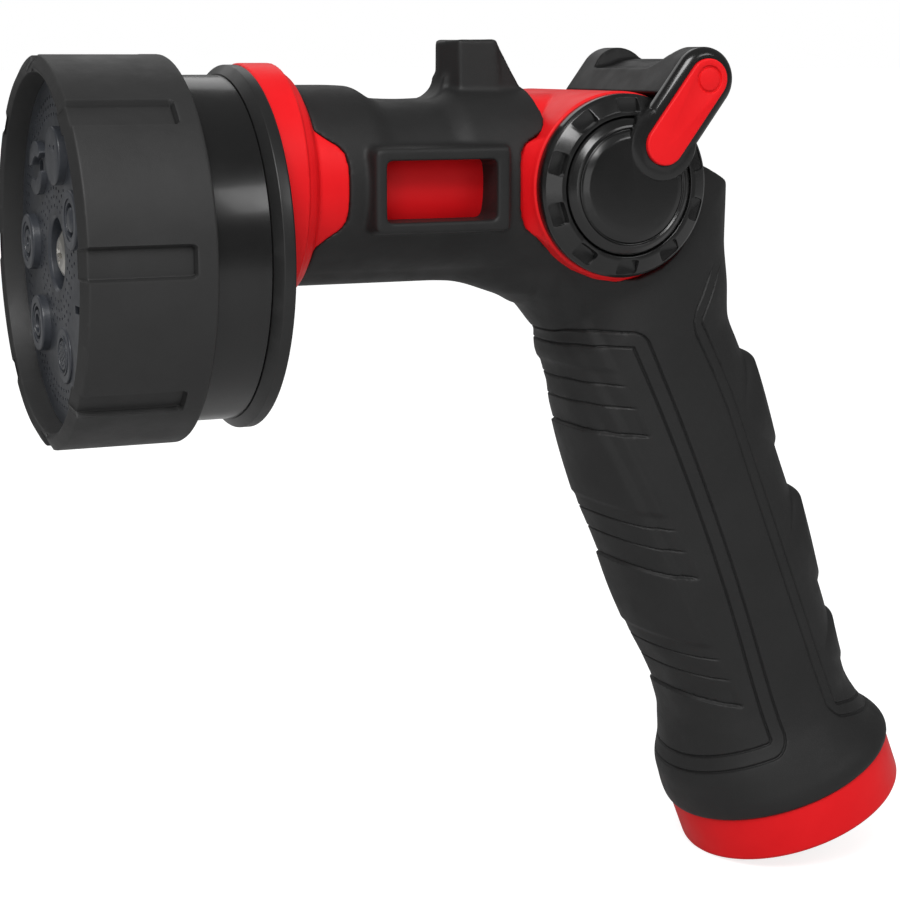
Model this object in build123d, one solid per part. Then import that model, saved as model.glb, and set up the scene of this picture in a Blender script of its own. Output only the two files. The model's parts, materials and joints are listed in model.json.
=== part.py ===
"""Garden and fire-point hose nozzle with a pistol grip, a pattern dial and a thumb flow lever.

Millimetres, one solid per piece. The origin is the centre of the hose inlet's mouth, at the foot of
the grip. +X is the spray direction, +Y is the nozzle's left side and +Z is up.
"""
import os
from math import cos, hypot, radians, sin

from build123d import *

# ---------------------------------------------------------------- driving dimensions
GRIP_TILT = 21.4                      # lean of the grip axis from the vertical, degrees
DIAL_FRONT = 159.6                    # X of the dial's front edge
BODY_Z = 123.3                        # heights on the body's side view are counted from here
DIAL_Z = BODY_Z + 0.6                 # height of the dial's axis
BARREL_Z = BODY_Z + 12.1              # height of the barrel's axis
VALVE_Z = BODY_Z + 11.5               # height of the valve's axis
VALVE_X = DIAL_FRONT - 105.4

# dial: places along its axis are counted from the front edge, rearward negative
BEZEL_R = 35.3
BEZEL_REAR = -22.4
BEZEL_LIP = 1.2                       # the bezel's crown stands this far past the front edge
DRUM_R = 31.6
DRUM_REAR = -32.8
DRUM_WALL = 3.5
PLATE_BACK = -8.0
PLATE_FRONT = -3.8
PLATE_WELL_R = 6.45
PLATE_WELL_FLOOR = -7.0
WASHER_FRONT = -6.4
SCREW_FRONT = -4.4
PATTERN_COUNT = 7
PATTERN_STEP = 360 / PATTERN_COUNT
PATTERN_PHASE = 15.5                  # the selected pattern stands this far from the top
PATTERN_R = 18.3
PORT_R = 3.0
BOSS_R = 5.2
BOSS_FRONT = -1.1
TIP_R = 3.7
FAN_R = 1.6                           # the fan pattern's hole, between its two walls
DIAL_BORE_R = 3.06
SHOULDER_R = 3.0
GROOVE_COUNT = 8
GROOVE_PHASE = -1.7
GROOVE_END = -19.0
GROOVE_CUT_R = 4.5
GROOVE_CUT_OFFSET = 3.3               # the groove cutter's axis is this far outside the bezel

# front flange and collar
FLANGE_FRONT = -33.1
FLANGE_REAR = -36.7
FLANGE_R = 33.4
SEAL_POCKET = 1.8                     # depth of the port seal's pocket in the flange
COLLAR_R = 22.2
BARREL_BORE_R = 9.0
BARREL_BORE_LIFT = 2.0                # the barrel's bore runs this far above the barrel's axis

# detent: a leaf spring in the flange, whose bump clicks into a dimple of the drum for each pattern
DETENT_R = 26.0
DETENT_ANGLE = PATTERN_PHASE + 180
BUMP_R = 1.75
BUMP_ENGAGE = 0.6                     # how deep the bump sits in a dimple
LEAF_WIDE = 3.6
LEAF_THICK = 0.4
LEAF_HALF = 6.4                       # half the leaf's length
LEAF_POCKET = 2.6                     # depth of its pocket in the flange

# core and cover
BARREL_R = 18.2
CORE_BARREL_R = 13.6                  # inside the cover
CORE_NECK_R = 16.95                   # where the barrel meets the pod
POD_R = 17.6
POD_HALF = 20.0
COVER_SKIN = 2.6
HANDLE_SPLIT = 96.0                   # the core's handle tube meets its valve body here, up the grip
RING_TOP = 10.3                       # height of the red base ring along the grip
RING_R = 24.2
SOCKET_R = 19.0
INSERT_R = 16.5
INSERT_DEPTH = 14.6
THREAD_MINOR_R = 12.25                # 3/4 inch hose thread, 11.5 turns per inch
THREAD_MAJOR_R = 13.65
THREAD_PITCH = 2.209
THREAD_TURNS = 6
WASHER_TOP = 17.6
HANDLE_BORE_R = 10.0

# valve
CHAMBER_R = 14.6
BALL_R = 14.0
BALL_GAP = 0.03
WATERWAY_R = 4.15
TRUNNION_R = 4.0
TRUNNION_FIT = 0.06
SEAT_R = 8.0
GLAND_INNER = 14.5
DRIVE_SQUARE = 5.4

# lever: one arm stands outside the left retaining ring, with the thumb pad across the top from its end
RING_OUTER_R = 17.2
RING_INNER_R = 12.95
RING_FACE = 24.5
NOTCH_COUNT = 10
NOTCH_PHASE = 53.5                    # the first notch stands this far above the front, degrees
HUB_R = 12.5
ARM_ANGLE = 36.6                      # rearward lean of the arm at rest, degrees
ARM_START = 9.7
ARM_END = 24.6
ARM_HALF = 6.0
ARM_INNER = 24.8
ARM_SHOULDER = 26.0                   # the arm's edge is stepped in beyond this
ARM_FACE = 27.2
ARM_FACE_HALF = 5.1
INLAY_HALF = 3.85
INLAY_DEPTH = 1.0
INLAY_FACE = 28.0
PAD_END = -15.4                       # the pad's free end, on the right
PAD_CHEEK = 6.5                       # width of the raised cheek at that end
PAD_CLEAR_R = 18.1
PAD_TOP = 35.1                        # height of the thumb's hollow at its rear edge
PAD_LIP = 33.3                        # height of the hollow's front edge
LEVER_SWING = 38.0                    # forward from the shut position to fully open

# inlet and grip directions
GRIP_UP = (sin(radians(GRIP_TILT)), 0, cos(radians(GRIP_TILT)))
GRIP_FRONT = (cos(radians(GRIP_TILT)), 0, -sin(radians(GRIP_TILT)))
VALVE = (VALVE_X, 0, VALVE_Z)
GRIP_DOWN = (-GRIP_UP[0], 0, -GRIP_UP[2])
BUMP_CENTRE = DRUM_REAR - BUMP_R + BUMP_ENGAGE


# ---------------------------------------------------------------- helpers
def rod(start, direction, radius, length):
    """A solid cylinder that starts at a point and runs along a direction."""
    placed = Plane(origin=start, z_dir=direction)
    return placed * Cylinder(radius, length, align=(Align.CENTER, Align.CENTER, Align.MIN))


def lathe(outline, origin, direction):
    """A turned solid: the outline's points are (place along the axis, radius)."""
    profile = make_face(Plane.XZ * Polyline(*[(r, s) for s, r in outline], close=True))
    return Plane(origin=origin, z_dir=direction) * revolve(profile, Axis.Z)


def ball(centre, radius, pole=(1, 0, 0)):
    """A sphere whose poles lie along a direction, which the cuts through it share."""
    return Plane(origin=centre, z_dir=pole) * Sphere(radius)


def on_dial(along, y=0.0, z=0.0):
    """A point counted from the dial's front edge and axis."""
    return (DIAL_FRONT + along, y, DIAL_Z + z)


def around_dial(angle, radius):
    """Sideways and upward offsets at an angle from the top, towards +Y."""
    return (radius * sin(radians(angle)), radius * cos(radians(angle)))


def dial_rod(start, end, radius, y=0.0, z=0.0):
    """A cylinder parallel to the dial's axis, between two places along it."""
    return rod(on_dial(start, y, z), (1, 0, 0), radius, end - start)


def dial_lathe(outline):
    return lathe(outline, on_dial(0), (1, 0, 0))


def barrel_lathe(outline):
    return lathe(outline, on_dial(0, 0, BARREL_Z - DIAL_Z), (1, 0, 0))


def grip_point(t, n=0.0, y=0.0):
    """A point t up the grip's axis from the mouth and n in front of it."""
    return (t * GRIP_UP[0] + n * GRIP_FRONT[0], y, t * GRIP_UP[2] + n * GRIP_FRONT[2])


def grip_lathe(outline):
    return lathe(outline, (0, 0, 0), GRIP_UP)


def valve_lathe(outline, side=1):
    """A turned solid about the valve's axis: places count outward on one side."""
    return lathe(outline, VALVE, (0, side, 0))


def side_prism(points, low, high):
    """A side-view outline, drawn in the dial's front-edge frame, extruded from low to high Y."""
    placed = [(DIAL_FRONT + x, BODY_Z + z) for x, z in points]
    face = make_face(Plane.XZ.offset(-low) * Polyline(*placed, close=True))
    return extrude(face, amount=high - low, dir=(0, 1, 0))


def both_sides(shape):
    return shape + mirror(shape, about=Plane.XZ)


def pattern_places():
    return [around_dial(PATTERN_PHASE + k * PATTERN_STEP, PATTERN_R) for k in range(PATTERN_COUNT)]


# ---------------------------------------------------------------- dial
def make_bezel():
    body = dial_lathe([
        (BEZEL_REAR, DRUM_R), (BEZEL_REAR, BEZEL_R - 0.8), (BEZEL_REAR + 0.8, BEZEL_R),
        (0, BEZEL_R), (BEZEL_LIP, 33.0), (0.7, DRUM_R)])
    for k in range(GROOVE_COUNT):
        y, z = around_dial(GROOVE_PHASE + k * 360 / GROOVE_COUNT, BEZEL_R + GROOVE_CUT_OFFSET)
        body -= dial_rod(GROOVE_END, 3, GROOVE_CUT_R, y, z)
        body -= ball(on_dial(GROOVE_END, y, z), GROOVE_CUT_R)
    return body


def make_drum():
    inner = DRUM_R - DRUM_WALL
    body = dial_lathe([
        (DRUM_REAR, DIAL_BORE_R), (DRUM_REAR, DRUM_R - 0.4), (DRUM_REAR + 0.4, DRUM_R), (PLATE_BACK, DRUM_R),
        (PLATE_BACK, inner), (DRUM_REAR + DRUM_WALL, inner), (DRUM_REAR + DRUM_WALL, 6),
        (PLATE_BACK, 6), (PLATE_BACK, DIAL_BORE_R)])
    for y, z in pattern_places():
        body -= dial_rod(DRUM_REAR - 1, DRUM_REAR + DRUM_WALL + 1, PORT_R, y, z)
    for k in range(PATTERN_COUNT):
        y, z = around_dial(DETENT_ANGLE + k * PATTERN_STEP, DETENT_R)
        body -= ball(on_dial(BUMP_CENTRE, y, z), BUMP_R + 0.05)
    return body


def make_manifold():
    """A plate with one tube for each pattern, from the drum's back wall to the face plate."""
    floor = DRUM_REAR + DRUM_WALL
    body = dial_lathe([
        (floor, 6.1), (floor, DRUM_R - DRUM_WALL), (floor + 3, DRUM_R - DRUM_WALL), (floor + 3, 6.1)])
    for y, z in pattern_places():
        body += dial_rod(floor, PLATE_BACK - 1, PORT_R + 1.6, y, z)
    for y, z in pattern_places():
        body -= dial_rod(floor - 1, PLATE_BACK + 1, PORT_R, y, z)
    return body


def make_tip_seals():
    rings = [
        dial_rod(PLATE_BACK - 1, PLATE_BACK, PORT_R + 1.6, y, z)
        - dial_rod(PLATE_BACK - 2, PLATE_BACK + 1, PORT_R, y, z) for y, z in pattern_places()]
    return Compound(children=rings)


def small_holes(y, z, count, ring_radius, radius):
    """Through holes on a circle about one pattern's centre."""
    holes = []
    for k in range(count):
        dy, dz = around_dial(k * 360 / count, ring_radius)
        holes.append(dial_rod(PLATE_BACK - 1, 3, radius, y + dy, z + dz))
    return holes


def crescents(y, z):
    """Two curved walls facing each other, which shape a fan of water."""
    walls = dial_rod(PLATE_BACK, BOSS_FRONT - 0.4, BOSS_R, y, z)
    gap = Pos(*on_dial(PLATE_FRONT + 3, y, z)) * Rot(PATTERN_PHASE - PATTERN_STEP, 0, 0)
    return walls - gap * Box(6, 2 * BOSS_R, 1.8)


def make_face_plate():
    body = dial_rod(PLATE_BACK, PLATE_FRONT, DRUM_R)
    places = pattern_places()
    for k in (0, 1, 4, 5):
        body += dial_rod(PLATE_BACK, BOSS_FRONT, BOSS_R, *places[k])
    body -= dial_rod(PLATE_BACK - 1, 3, DIAL_BORE_R)
    body -= dial_rod(PLATE_WELL_FLOOR, 3, PLATE_WELL_R)
    for k in (1, 3, 4, 5):
        body -= dial_rod(PLATE_BACK - 1, 3, TIP_R, *places[k])
    for hole in small_holes(*places[0], 2, 1.8, 0.5):
        body -= hole
    body -= Pos(*on_dial(-3, *places[2])) * Box(20, 6.4, 1.4)
    return body + crescents(*places[6]) - dial_rod(PLATE_BACK - 1, 3, FAN_R, *places[6])


def make_tip(k, front, orifice, ring_count=0):
    """An insert pressed into one pattern's socket, with a centre hole or a ring of small ones."""
    y, z = pattern_places()[k]
    body = dial_rod(PLATE_BACK, front, TIP_R, y, z)
    if orifice:
        body -= dial_rod(PLATE_BACK - 1, 3, orifice, y, z)
    for hole in small_holes(y, z, ring_count, 2.0, 0.4):
        body -= hole
    return body


def make_cone_tip():
    """The cone pattern's insert: a domed pin in a ring of slots."""
    y, z = pattern_places()[1]
    body = make_tip(1, BOSS_FRONT - 1.4, 0, 6)
    pin = dial_rod(BOSS_FRONT - 1.4, BOSS_FRONT - 0.6, 1.5, y, z)
    return body + pin


# ---------------------------------------------------------------- dial screw and washer
def make_dial_washer():
    return dial_lathe([
        (PLATE_WELL_FLOOR, 3.05), (PLATE_WELL_FLOOR, 5.9), (WASHER_FRONT, 5.9), (WASHER_FRONT, 3.05)])


def make_dial_screw():
    body = dial_lathe([
        (-46.0, 0), (-46.0, 1.8), (-45.2, 2.4), (FLANGE_FRONT, 2.4), (FLANGE_FRONT, SHOULDER_R),
        (WASHER_FRONT, SHOULDER_R), (WASHER_FRONT, 4.45), (SCREW_FRONT - 0.7, 4.45), (SCREW_FRONT, 3.4),
        (SCREW_FRONT, 0)])
    for size in ((5.0, 1.0), (1.0, 5.0)):
        body -= Pos(*on_dial(SCREW_FRONT)) * Box(2.6, *size)
    return body


# ---------------------------------------------------------------- front flange and detent
def detent_frame():
    """The detent's place: its X runs round the dial, its Y outward from the axis, its Z forward."""
    y, z = around_dial(DETENT_ANGLE, DETENT_R)
    dy, dz = around_dial(DETENT_ANGLE + 90, 1)
    return Plane(origin=on_dial(0, y, z), x_dir=(0, dy, dz), z_dir=(1, 0, 0))


def make_flange():
    body = dial_lathe([
        (FLANGE_REAR, 0), (FLANGE_REAR, FLANGE_R - 0.3), (FLANGE_REAR + 0.3, FLANGE_R),
        (-34.4, FLANGE_R), (FLANGE_FRONT, DRUM_R), (FLANGE_FRONT, 0)])
    y, z = pattern_places()[0]
    body -= dial_rod(FLANGE_REAR - 1, FLANGE_FRONT + 1, PORT_R, y, z)
    body -= dial_rod(FLANGE_FRONT - SEAL_POCKET, FLANGE_FRONT + 1, PORT_R + 1.8, y, z)
    body -= dial_rod(FLANGE_REAR - 1, FLANGE_FRONT + 1, 2.4)
    pocket = Pos(0, 0, FLANGE_FRONT - LEAF_POCKET / 2 + 0.5)
    pocket *= Box(2 * LEAF_HALF + 1, LEAF_WIDE + 0.4, LEAF_POCKET + 1)
    body -= detent_frame() * pocket
    lift = BARREL_Z + BARREL_BORE_LIFT - DIAL_Z
    groove = dial_rod(FLANGE_REAR - 1, FLANGE_REAR + 1.3, 10.7, 0, lift)
    body -= groove - dial_rod(FLANGE_REAR - 2, FLANGE_REAR + 2, 9.4, 0, lift)
    return body


def make_port_seal():
    y, z = pattern_places()[0]
    outer = dial_rod(FLANGE_FRONT - SEAL_POCKET, DRUM_REAR - 0.05, PORT_R + 1.8, y, z)
    return outer - dial_rod(FLANGE_REAR, DRUM_REAR + 1, PORT_R, y, z)


def make_outlet_oring():
    lift = BARREL_Z + BARREL_BORE_LIFT - DIAL_Z
    placed = Plane(origin=on_dial(FLANGE_REAR + 0.65, 0, lift), z_dir=(1, 0, 0))
    return placed * Torus(10.05, 0.65)


def make_detent_spring():
    """The click spring: a leaf that rests on its pocket's floor at both ends, bent up to its bump."""
    floor = FLANGE_FRONT - LEAF_POCKET
    crown = DRUM_REAR - 0.9
    under = [(-LEAF_HALF, floor), (-LEAF_HALF + 1.6, floor), (-2.0, crown - LEAF_THICK)]
    over = [(-1.9, crown), (-LEAF_HALF + 1.5, floor + LEAF_THICK), (-LEAF_HALF, floor + LEAF_THICK)]
    under += [(-x, z) for x, z in reversed(under)]
    over = [(-x, z) for x, z in reversed(over)] + over
    strip = make_face(Plane.XZ * Polyline(*(under + over), close=True))
    leaf = extrude(strip, amount=LEAF_WIDE / 2, both=True)
    bump = Pos(0, 0, BUMP_CENTRE) * Sphere(BUMP_R)
    bump &= Pos(0, 0, crown + 2) * Box(6, 6, 4 + LEAF_THICK)
    return detent_frame() * (leaf + bump)


# ---------------------------------------------------------------- grip sections
def barrel_station(along, top, bottom, side):
    """A section across the barrel, between its bottom and top heights."""
    return ((DIAL_FRONT + along, BODY_Z + bottom), (DIAL_FRONT + along, BODY_Z + top), side)


def elbow_station(front, rear, side):
    placed = [(DIAL_FRONT + x, BODY_Z + z) for x, z in (front, rear)]
    return (placed[0], placed[1], side)


def grip_station(t, centre, half, side):
    """A section across the grip, t up its axis: its centre's offset, half-depth and half-width."""
    front, rear = grip_point(t, centre + half), grip_point(t, centre - half)
    return ((front[0], front[2]), (rear[0], rear[2]), side)


STATIONS = [
    barrel_station(-46.5, 30.3, -6.0, BARREL_R),
    barrel_station(-57.0, 30.1, -6.0, BARREL_R),
    barrel_station(-63.0, 27.8, -6.0, BARREL_R),
    barrel_station(-75.0, 27.8, -6.1, BARREL_R),
    elbow_station((-87.4, -7.6), (-92.2, 30.3), 19.0),
    elbow_station((-94.5, -10.9), (-114.0, 26.5), 20.0),
    elbow_station((-98.9, -15.9), (-131.0, 16.5), 20.0),
    elbow_station((-101.3, -20.0), (-136.8, 4.0), 19.2),
    grip_station(110, -1.3, 18.6, 18.2),
    grip_station(102, -0.8, 19.4, 17.8),
    grip_station(88, -1.0, 21.4, 17.5),
    grip_station(70, -0.3, 21.4, 17.5),
    grip_station(54, -0.8, 21.4, 17.5),
    grip_station(40, -0.5, 20.1, 17.5),
    grip_station(29, 0.3, 20.1, 18.2),
    grip_station(19, 1.4, 23.2, 22.0),
    grip_station(RING_TOP, 0.0, 25.0, 25.0),
]


def grip_form(stations, inset):
    """The grip's outer form, or a smaller one inside it."""
    sections = []
    for (fx, fz), (rx, rz), side in stations:
        depth = hypot(rx - fx, rz - fz)
        up = ((rx - fx) / depth, 0, (rz - fz) / depth)
        placed = Plane(origin=((fx + rx) / 2, 0, (fz + rz) / 2), x_dir=up, z_dir=(-up[2], 0, up[0]))
        sections.append(placed * Ellipse(depth / 2 - inset, side - inset))
    return loft(sections, ruled=True)


# ---------------------------------------------------------------- core
TONGUE = [(-45.5, 29), (-45.5, 13.5), (-45.9, -0.4), (-48.7, 3.0), (-51.1, 4.7), (-52.2, 9.1),
          (-52.3, 14.6), (-51.6, 18.6), (-47.8, 21.4), (-46.2, 24.0)]
WINDOW_X = (-58.5, -80.3)
WINDOW_Z = (5.8, 16.9)
FRAME_X = (-56.4, -82.9)
FRAME_Z = (3.8, 19.1)
FRAME_FACE = 20.5
POD_OPENING = [(-92.2, 34), (-92.2, 22.5), (-89.3, 20.6), (-86.4, 18.0), (-85.9, 14.9), (-85.9, 9.5),
               (-87.5, 3.8), (-95.0, -2.2), (-102.1, -6.0), (-106.4, -6.7), (-110.7, -6.6),
               (-115.6, -5.4), (-120.5, -1.6), (-124.3, 5.0), (-124.6, 13.0), (-124.6, 34)]


def waterways():
    lift = BARREL_Z + BARREL_BORE_LIFT - DIAL_Z
    cuts = [dial_rod(-88, FLANGE_REAR + 1, BARREL_BORE_R, 0, lift)]
    cuts.append(rod(VALVE, (1, 0, 0), WATERWAY_R, 24))
    cuts.append(rod(VALVE, (1, 0, 0), SEAT_R, 16))
    cuts.append(rod(VALVE, GRIP_DOWN, SEAT_R, 16))
    cuts.append(rod(VALVE, GRIP_DOWN, WATERWAY_R, 26))
    cuts.append(rod(grip_point(WASHER_TOP), GRIP_UP, HANDLE_BORE_R, 122 - WASHER_TOP))
    cuts.append(rod((VALVE_X, -POD_HALF - 1, VALVE_Z), (0, 1, 0), CHAMBER_R, 2 * POD_HALF + 2))
    cuts.append(rod(grip_point(-1), GRIP_UP, INSERT_R, INSERT_DEPTH + 1))
    cuts.append(rod(grip_point(-1), GRIP_UP, 13.2, WASHER_TOP + 1))
    cuts.append(dial_rod(-47, FLANGE_REAR + 1, 2.4))
    return cuts


# the outline above which the body is cut away under the lever
SHOULDER = [(-100, 60), (-100, 24), (-110, 11.5), (-122, 12.5), (-141, 15.5), (-141, 60)]


def core_form():
    """The core's outer form, without its waterways."""
    body = barrel_lathe([
        (-88, 0), (-88, CORE_BARREL_R), (-46.5, CORE_BARREL_R), (-46.5, BARREL_R), (-45.7, 19.6),
        (-43.9, 21.1), (-43.4, 21.3), (-43.2, COLLAR_R), (FLANGE_REAR, COLLAR_R), (FLANGE_REAR, 0)])
    body += grip_form(STATIONS[5:], COVER_SKIN) - side_prism(SHOULDER, -30, 30)
    body += grip_lathe([(0, 0), (0, SOCKET_R), (RING_TOP + 4, SOCKET_R), (RING_TOP + 4, 0)])
    body += rod(VALVE, (1, 0, 0), CORE_NECK_R, 19.4)
    body += rod((VALVE_X, -POD_HALF, VALVE_Z), (0, 1, 0), POD_R, 2 * POD_HALF)
    tongue = barrel_lathe([(-53, 0), (-53, BARREL_R - 0.3), (-46, BARREL_R - 0.3), (-46, 0)])
    return body + (tongue & both_sides(side_prism(TONGUE, 4, 22)))


def make_core():
    """The valve body with its barrel, and the handle tube below it."""
    body = core_form()
    for cut in waterways():
        body -= cut
    body = max(body.solids(), key=lambda solid: solid.volume)
    handle_room = rod((0, 0, 0), GRIP_UP, 60, HANDLE_SPLIT)
    return body - handle_room, body & handle_room


# ---------------------------------------------------------------- grip cover
def make_fin():
    """The stop fin on top of the barrel, ahead of the lever."""
    outline = [(-76.7, 22), (-76.7, 38.2), (-78.2, 38.8), (-86.0, 38.8), (-87.7, 36.9),
               (-91.5, 30.0), (-91.5, 22)]
    return side_prism(outline, -7.5, 7.5)


def window_prism(x_span, z_span, low, high):
    (x0, x1), (z0, z1) = x_span, z_span
    return side_prism([(x0, z0), (x0, z1), (x1, z1), (x1, z0)], low, high)


def make_cover():
    """The cover round the barrel and the valve, and the cover of the grip below it."""
    body = grip_form(STATIONS, 0)
    body += make_fin()
    body += both_sides(window_prism(FRAME_X, FRAME_Z, 12, FRAME_FACE))
    body -= both_sides(window_prism(WINDOW_X, WINDOW_Z, 12, FRAME_FACE + 1))
    body -= side_prism(POD_OPENING, -30, 30)
    body -= both_sides(side_prism(TONGUE, 4, 30))
    body -= side_prism(SHOULDER, -30, 30)
    body -= core_form()
    body = max(body.solids(), key=lambda solid: solid.volume)
    grip_room = rod((0, 0, 0), GRIP_UP, 60, HANDLE_SPLIT)
    return body - grip_room, body & grip_room


# ---------------------------------------------------------------- inlet
def make_base_ring():
    edge = 0.8
    return grip_lathe([
        (0, SOCKET_R), (0, RING_R - edge), (edge / 3, RING_R - edge / 3), (edge, RING_R),
        (RING_TOP, RING_R), (RING_TOP, SOCKET_R)])


def make_inlet_insert():
    """The threaded insert: the thread is drawn as rings at its pitch."""
    outline = [(0, INSERT_R), (0, THREAD_MINOR_R)]
    start = 0.9
    for turn in range(THREAD_TURNS):
        low = start + turn * THREAD_PITCH
        outline += [(low, THREAD_MINOR_R), (low + 0.7, THREAD_MAJOR_R), (low + 0.95, THREAD_MAJOR_R),
                    (low + 1.65, THREAD_MINOR_R)]
    outline += [(INSERT_DEPTH, THREAD_MINOR_R), (INSERT_DEPTH, INSERT_R)]
    return grip_lathe(outline)


def make_hose_washer():
    return grip_lathe([(INSERT_DEPTH, 8.5), (INSERT_DEPTH, 13.1), (WASHER_TOP, 13.1), (WASHER_TOP, 8.5)])


def make_inlet_screen():
    """A disc of holes held above the washer, inside the handle's bore."""
    body = grip_lathe([(WASHER_TOP, 0), (WASHER_TOP, 9.9), (WASHER_TOP + 0.8, 9.9), (WASHER_TOP + 0.8, 0)])
    for ring, count in ((0, 1), (3.2, 6), (6.4, 12)):
        for k in range(count):
            angle = radians(k * 360 / count)
            place = grip_point(WASHER_TOP - 1, ring * cos(angle), ring * sin(angle))
            body -= rod(place, GRIP_UP, 1.1, 3)
    return body


# ---------------------------------------------------------------- valve
def turned_back(direction):
    """A direction in the plane of the lever's swing, turned from its open place to its shut one."""
    x, y, z = direction
    c, s = cos(radians(LEVER_SWING)), sin(radians(LEVER_SWING))
    return (c * x - s * z, y, s * x + c * z)


def make_valve_ball():
    """A ball with a bent waterway and a trunnion on each side, which the lever turns. It stands shut."""
    body = ball(VALVE, BALL_R, (0, 1, 0))
    body += rod((VALVE_X, -20.6, VALVE_Z), (0, 1, 0), TRUNNION_R, 41.2)
    body += Pos(*VALVE) * Box(DRIVE_SQUARE, 47.6, DRIVE_SQUARE)
    body -= rod(VALVE, turned_back((1, 0, 0)), WATERWAY_R, 20)
    body -= rod(VALVE, turned_back(GRIP_DOWN), WATERWAY_R, 20)
    body -= ball(VALVE, WATERWAY_R)
    return body


def make_seat(direction):
    body = lathe([(9, WATERWAY_R), (9, SEAT_R), (16, SEAT_R), (16, WATERWAY_R)], VALVE, direction)
    return body - ball(VALVE, BALL_R + BALL_GAP, direction)


def make_gland(side):
    """The bush that holds one trunnion and closes one end of the valve chamber."""
    body = valve_lathe([
        (GLAND_INNER, TRUNNION_R + TRUNNION_FIT), (GLAND_INNER, CHAMBER_R), (POD_HALF, CHAMBER_R),
        (POD_HALF, TRUNNION_R + TRUNNION_FIT)], side)
    return body - valve_lathe([(16.2, 3.5), (16.2, 5.9), (18.1, 5.9), (18.1, 3.5)], side)


def make_trunnion_oring(side):
    placed = Plane(origin=(VALVE_X, side * 17.15, VALVE_Z), z_dir=(0, 1, 0))
    return placed * Torus(5.0, 0.88)


def make_pod_ring(side):
    """The notched retaining ring that clamps one gland, open in the middle for a hub."""
    body = valve_lathe([
        (POD_HALF, 8.5), (POD_HALF, RING_OUTER_R), (21.4, RING_OUTER_R), (RING_FACE - 0.5, 14.8),
        (RING_FACE, 14.2), (RING_FACE, RING_INNER_R), (21.0, RING_INNER_R), (21.0, 8.5)], side)
    for k in range(NOTCH_COUNT):
        spot = Pos(*VALVE) * Rot(0, -NOTCH_PHASE - k * 360 / NOTCH_COUNT, 0) * Pos(16.7, side * 23.6, 0)
        body -= spot * Box(3.0, 3.2, 4.4)
    return body


# ---------------------------------------------------------------- lever
def lever_point(along, y):
    """A point on the arm's centre line, counted from the valve's axis."""
    angle = radians(ARM_ANGLE)
    return (VALVE_X - along * sin(angle), y, VALVE_Z + along * cos(angle))


def capsule(half, low, high):
    """A round-ended bar along the arm, from low to high Y."""
    ends = [rod(lever_point(along, low), (0, 1, 0), half, high - low) for along in (ARM_START, ARM_END)]
    middle = Pos(*lever_point((ARM_START + ARM_END) / 2, (low + high) / 2)) * Rot(0, -ARM_ANGLE, 0)
    return ends[0] + ends[1] + middle * Box(2 * half, high - low, ARM_END - ARM_START)


def make_hub(side):
    """The hub disc in a retaining ring's opening, keyed on the trunnion's square."""
    return valve_lathe([
        (21.3, 0), (21.3, HUB_R), (24.4, HUB_R), (25.0, HUB_R - 0.7), (25.0, 11.3), (24.6, 11.0),
        (25.0, 10.7), (25.7, 8.0), (26.0, 4.0), (26.0, 0)], side)


def drive_square():
    return Pos(*VALVE) * Box(DRIVE_SQUARE, 47.6, DRIVE_SQUARE)


def make_arm():
    body = make_hub(1) + capsule(ARM_HALF, ARM_INNER, ARM_SHOULDER)
    body += capsule(ARM_FACE_HALF, ARM_SHOULDER - 0.2, ARM_FACE)
    return body - capsule(INLAY_HALF, ARM_FACE - INLAY_DEPTH, ARM_FACE + 1) - drive_square()


def make_inlay():
    body = capsule(INLAY_HALF, ARM_FACE - INLAY_DEPTH, INLAY_FACE)
    ring = rod(lever_point(ARM_END, INLAY_FACE), (0, -1, 0), 2.6, 0.25)
    return body - (ring - rod(lever_point(ARM_END, 29), (0, -1, 0), 2.3, 3))


def make_thumb_pad():
    """The pad across the top, flush with the arm in front and behind, hollowed for the thumb."""
    bar = capsule(ARM_HALF, PAD_END, ARM_INNER)
    bar -= rod((VALVE_X, -30, VALVE_Z), (0, 1, 0), PAD_CLEAR_R, 60)
    bar = max(bar.solids(), key=lambda solid: solid.center().Z)
    hollow = [(-111.0, PAD_LIP), (-116.5, PAD_LIP), (-120.0, PAD_TOP - 0.2), (-123.0, PAD_TOP),
              (-140.0, PAD_TOP), (-140.0, 45.0), (-111.0, 45.0)]
    return bar - side_prism(hollow, PAD_END + PAD_CHEEK, ARM_INNER - 2)


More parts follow.
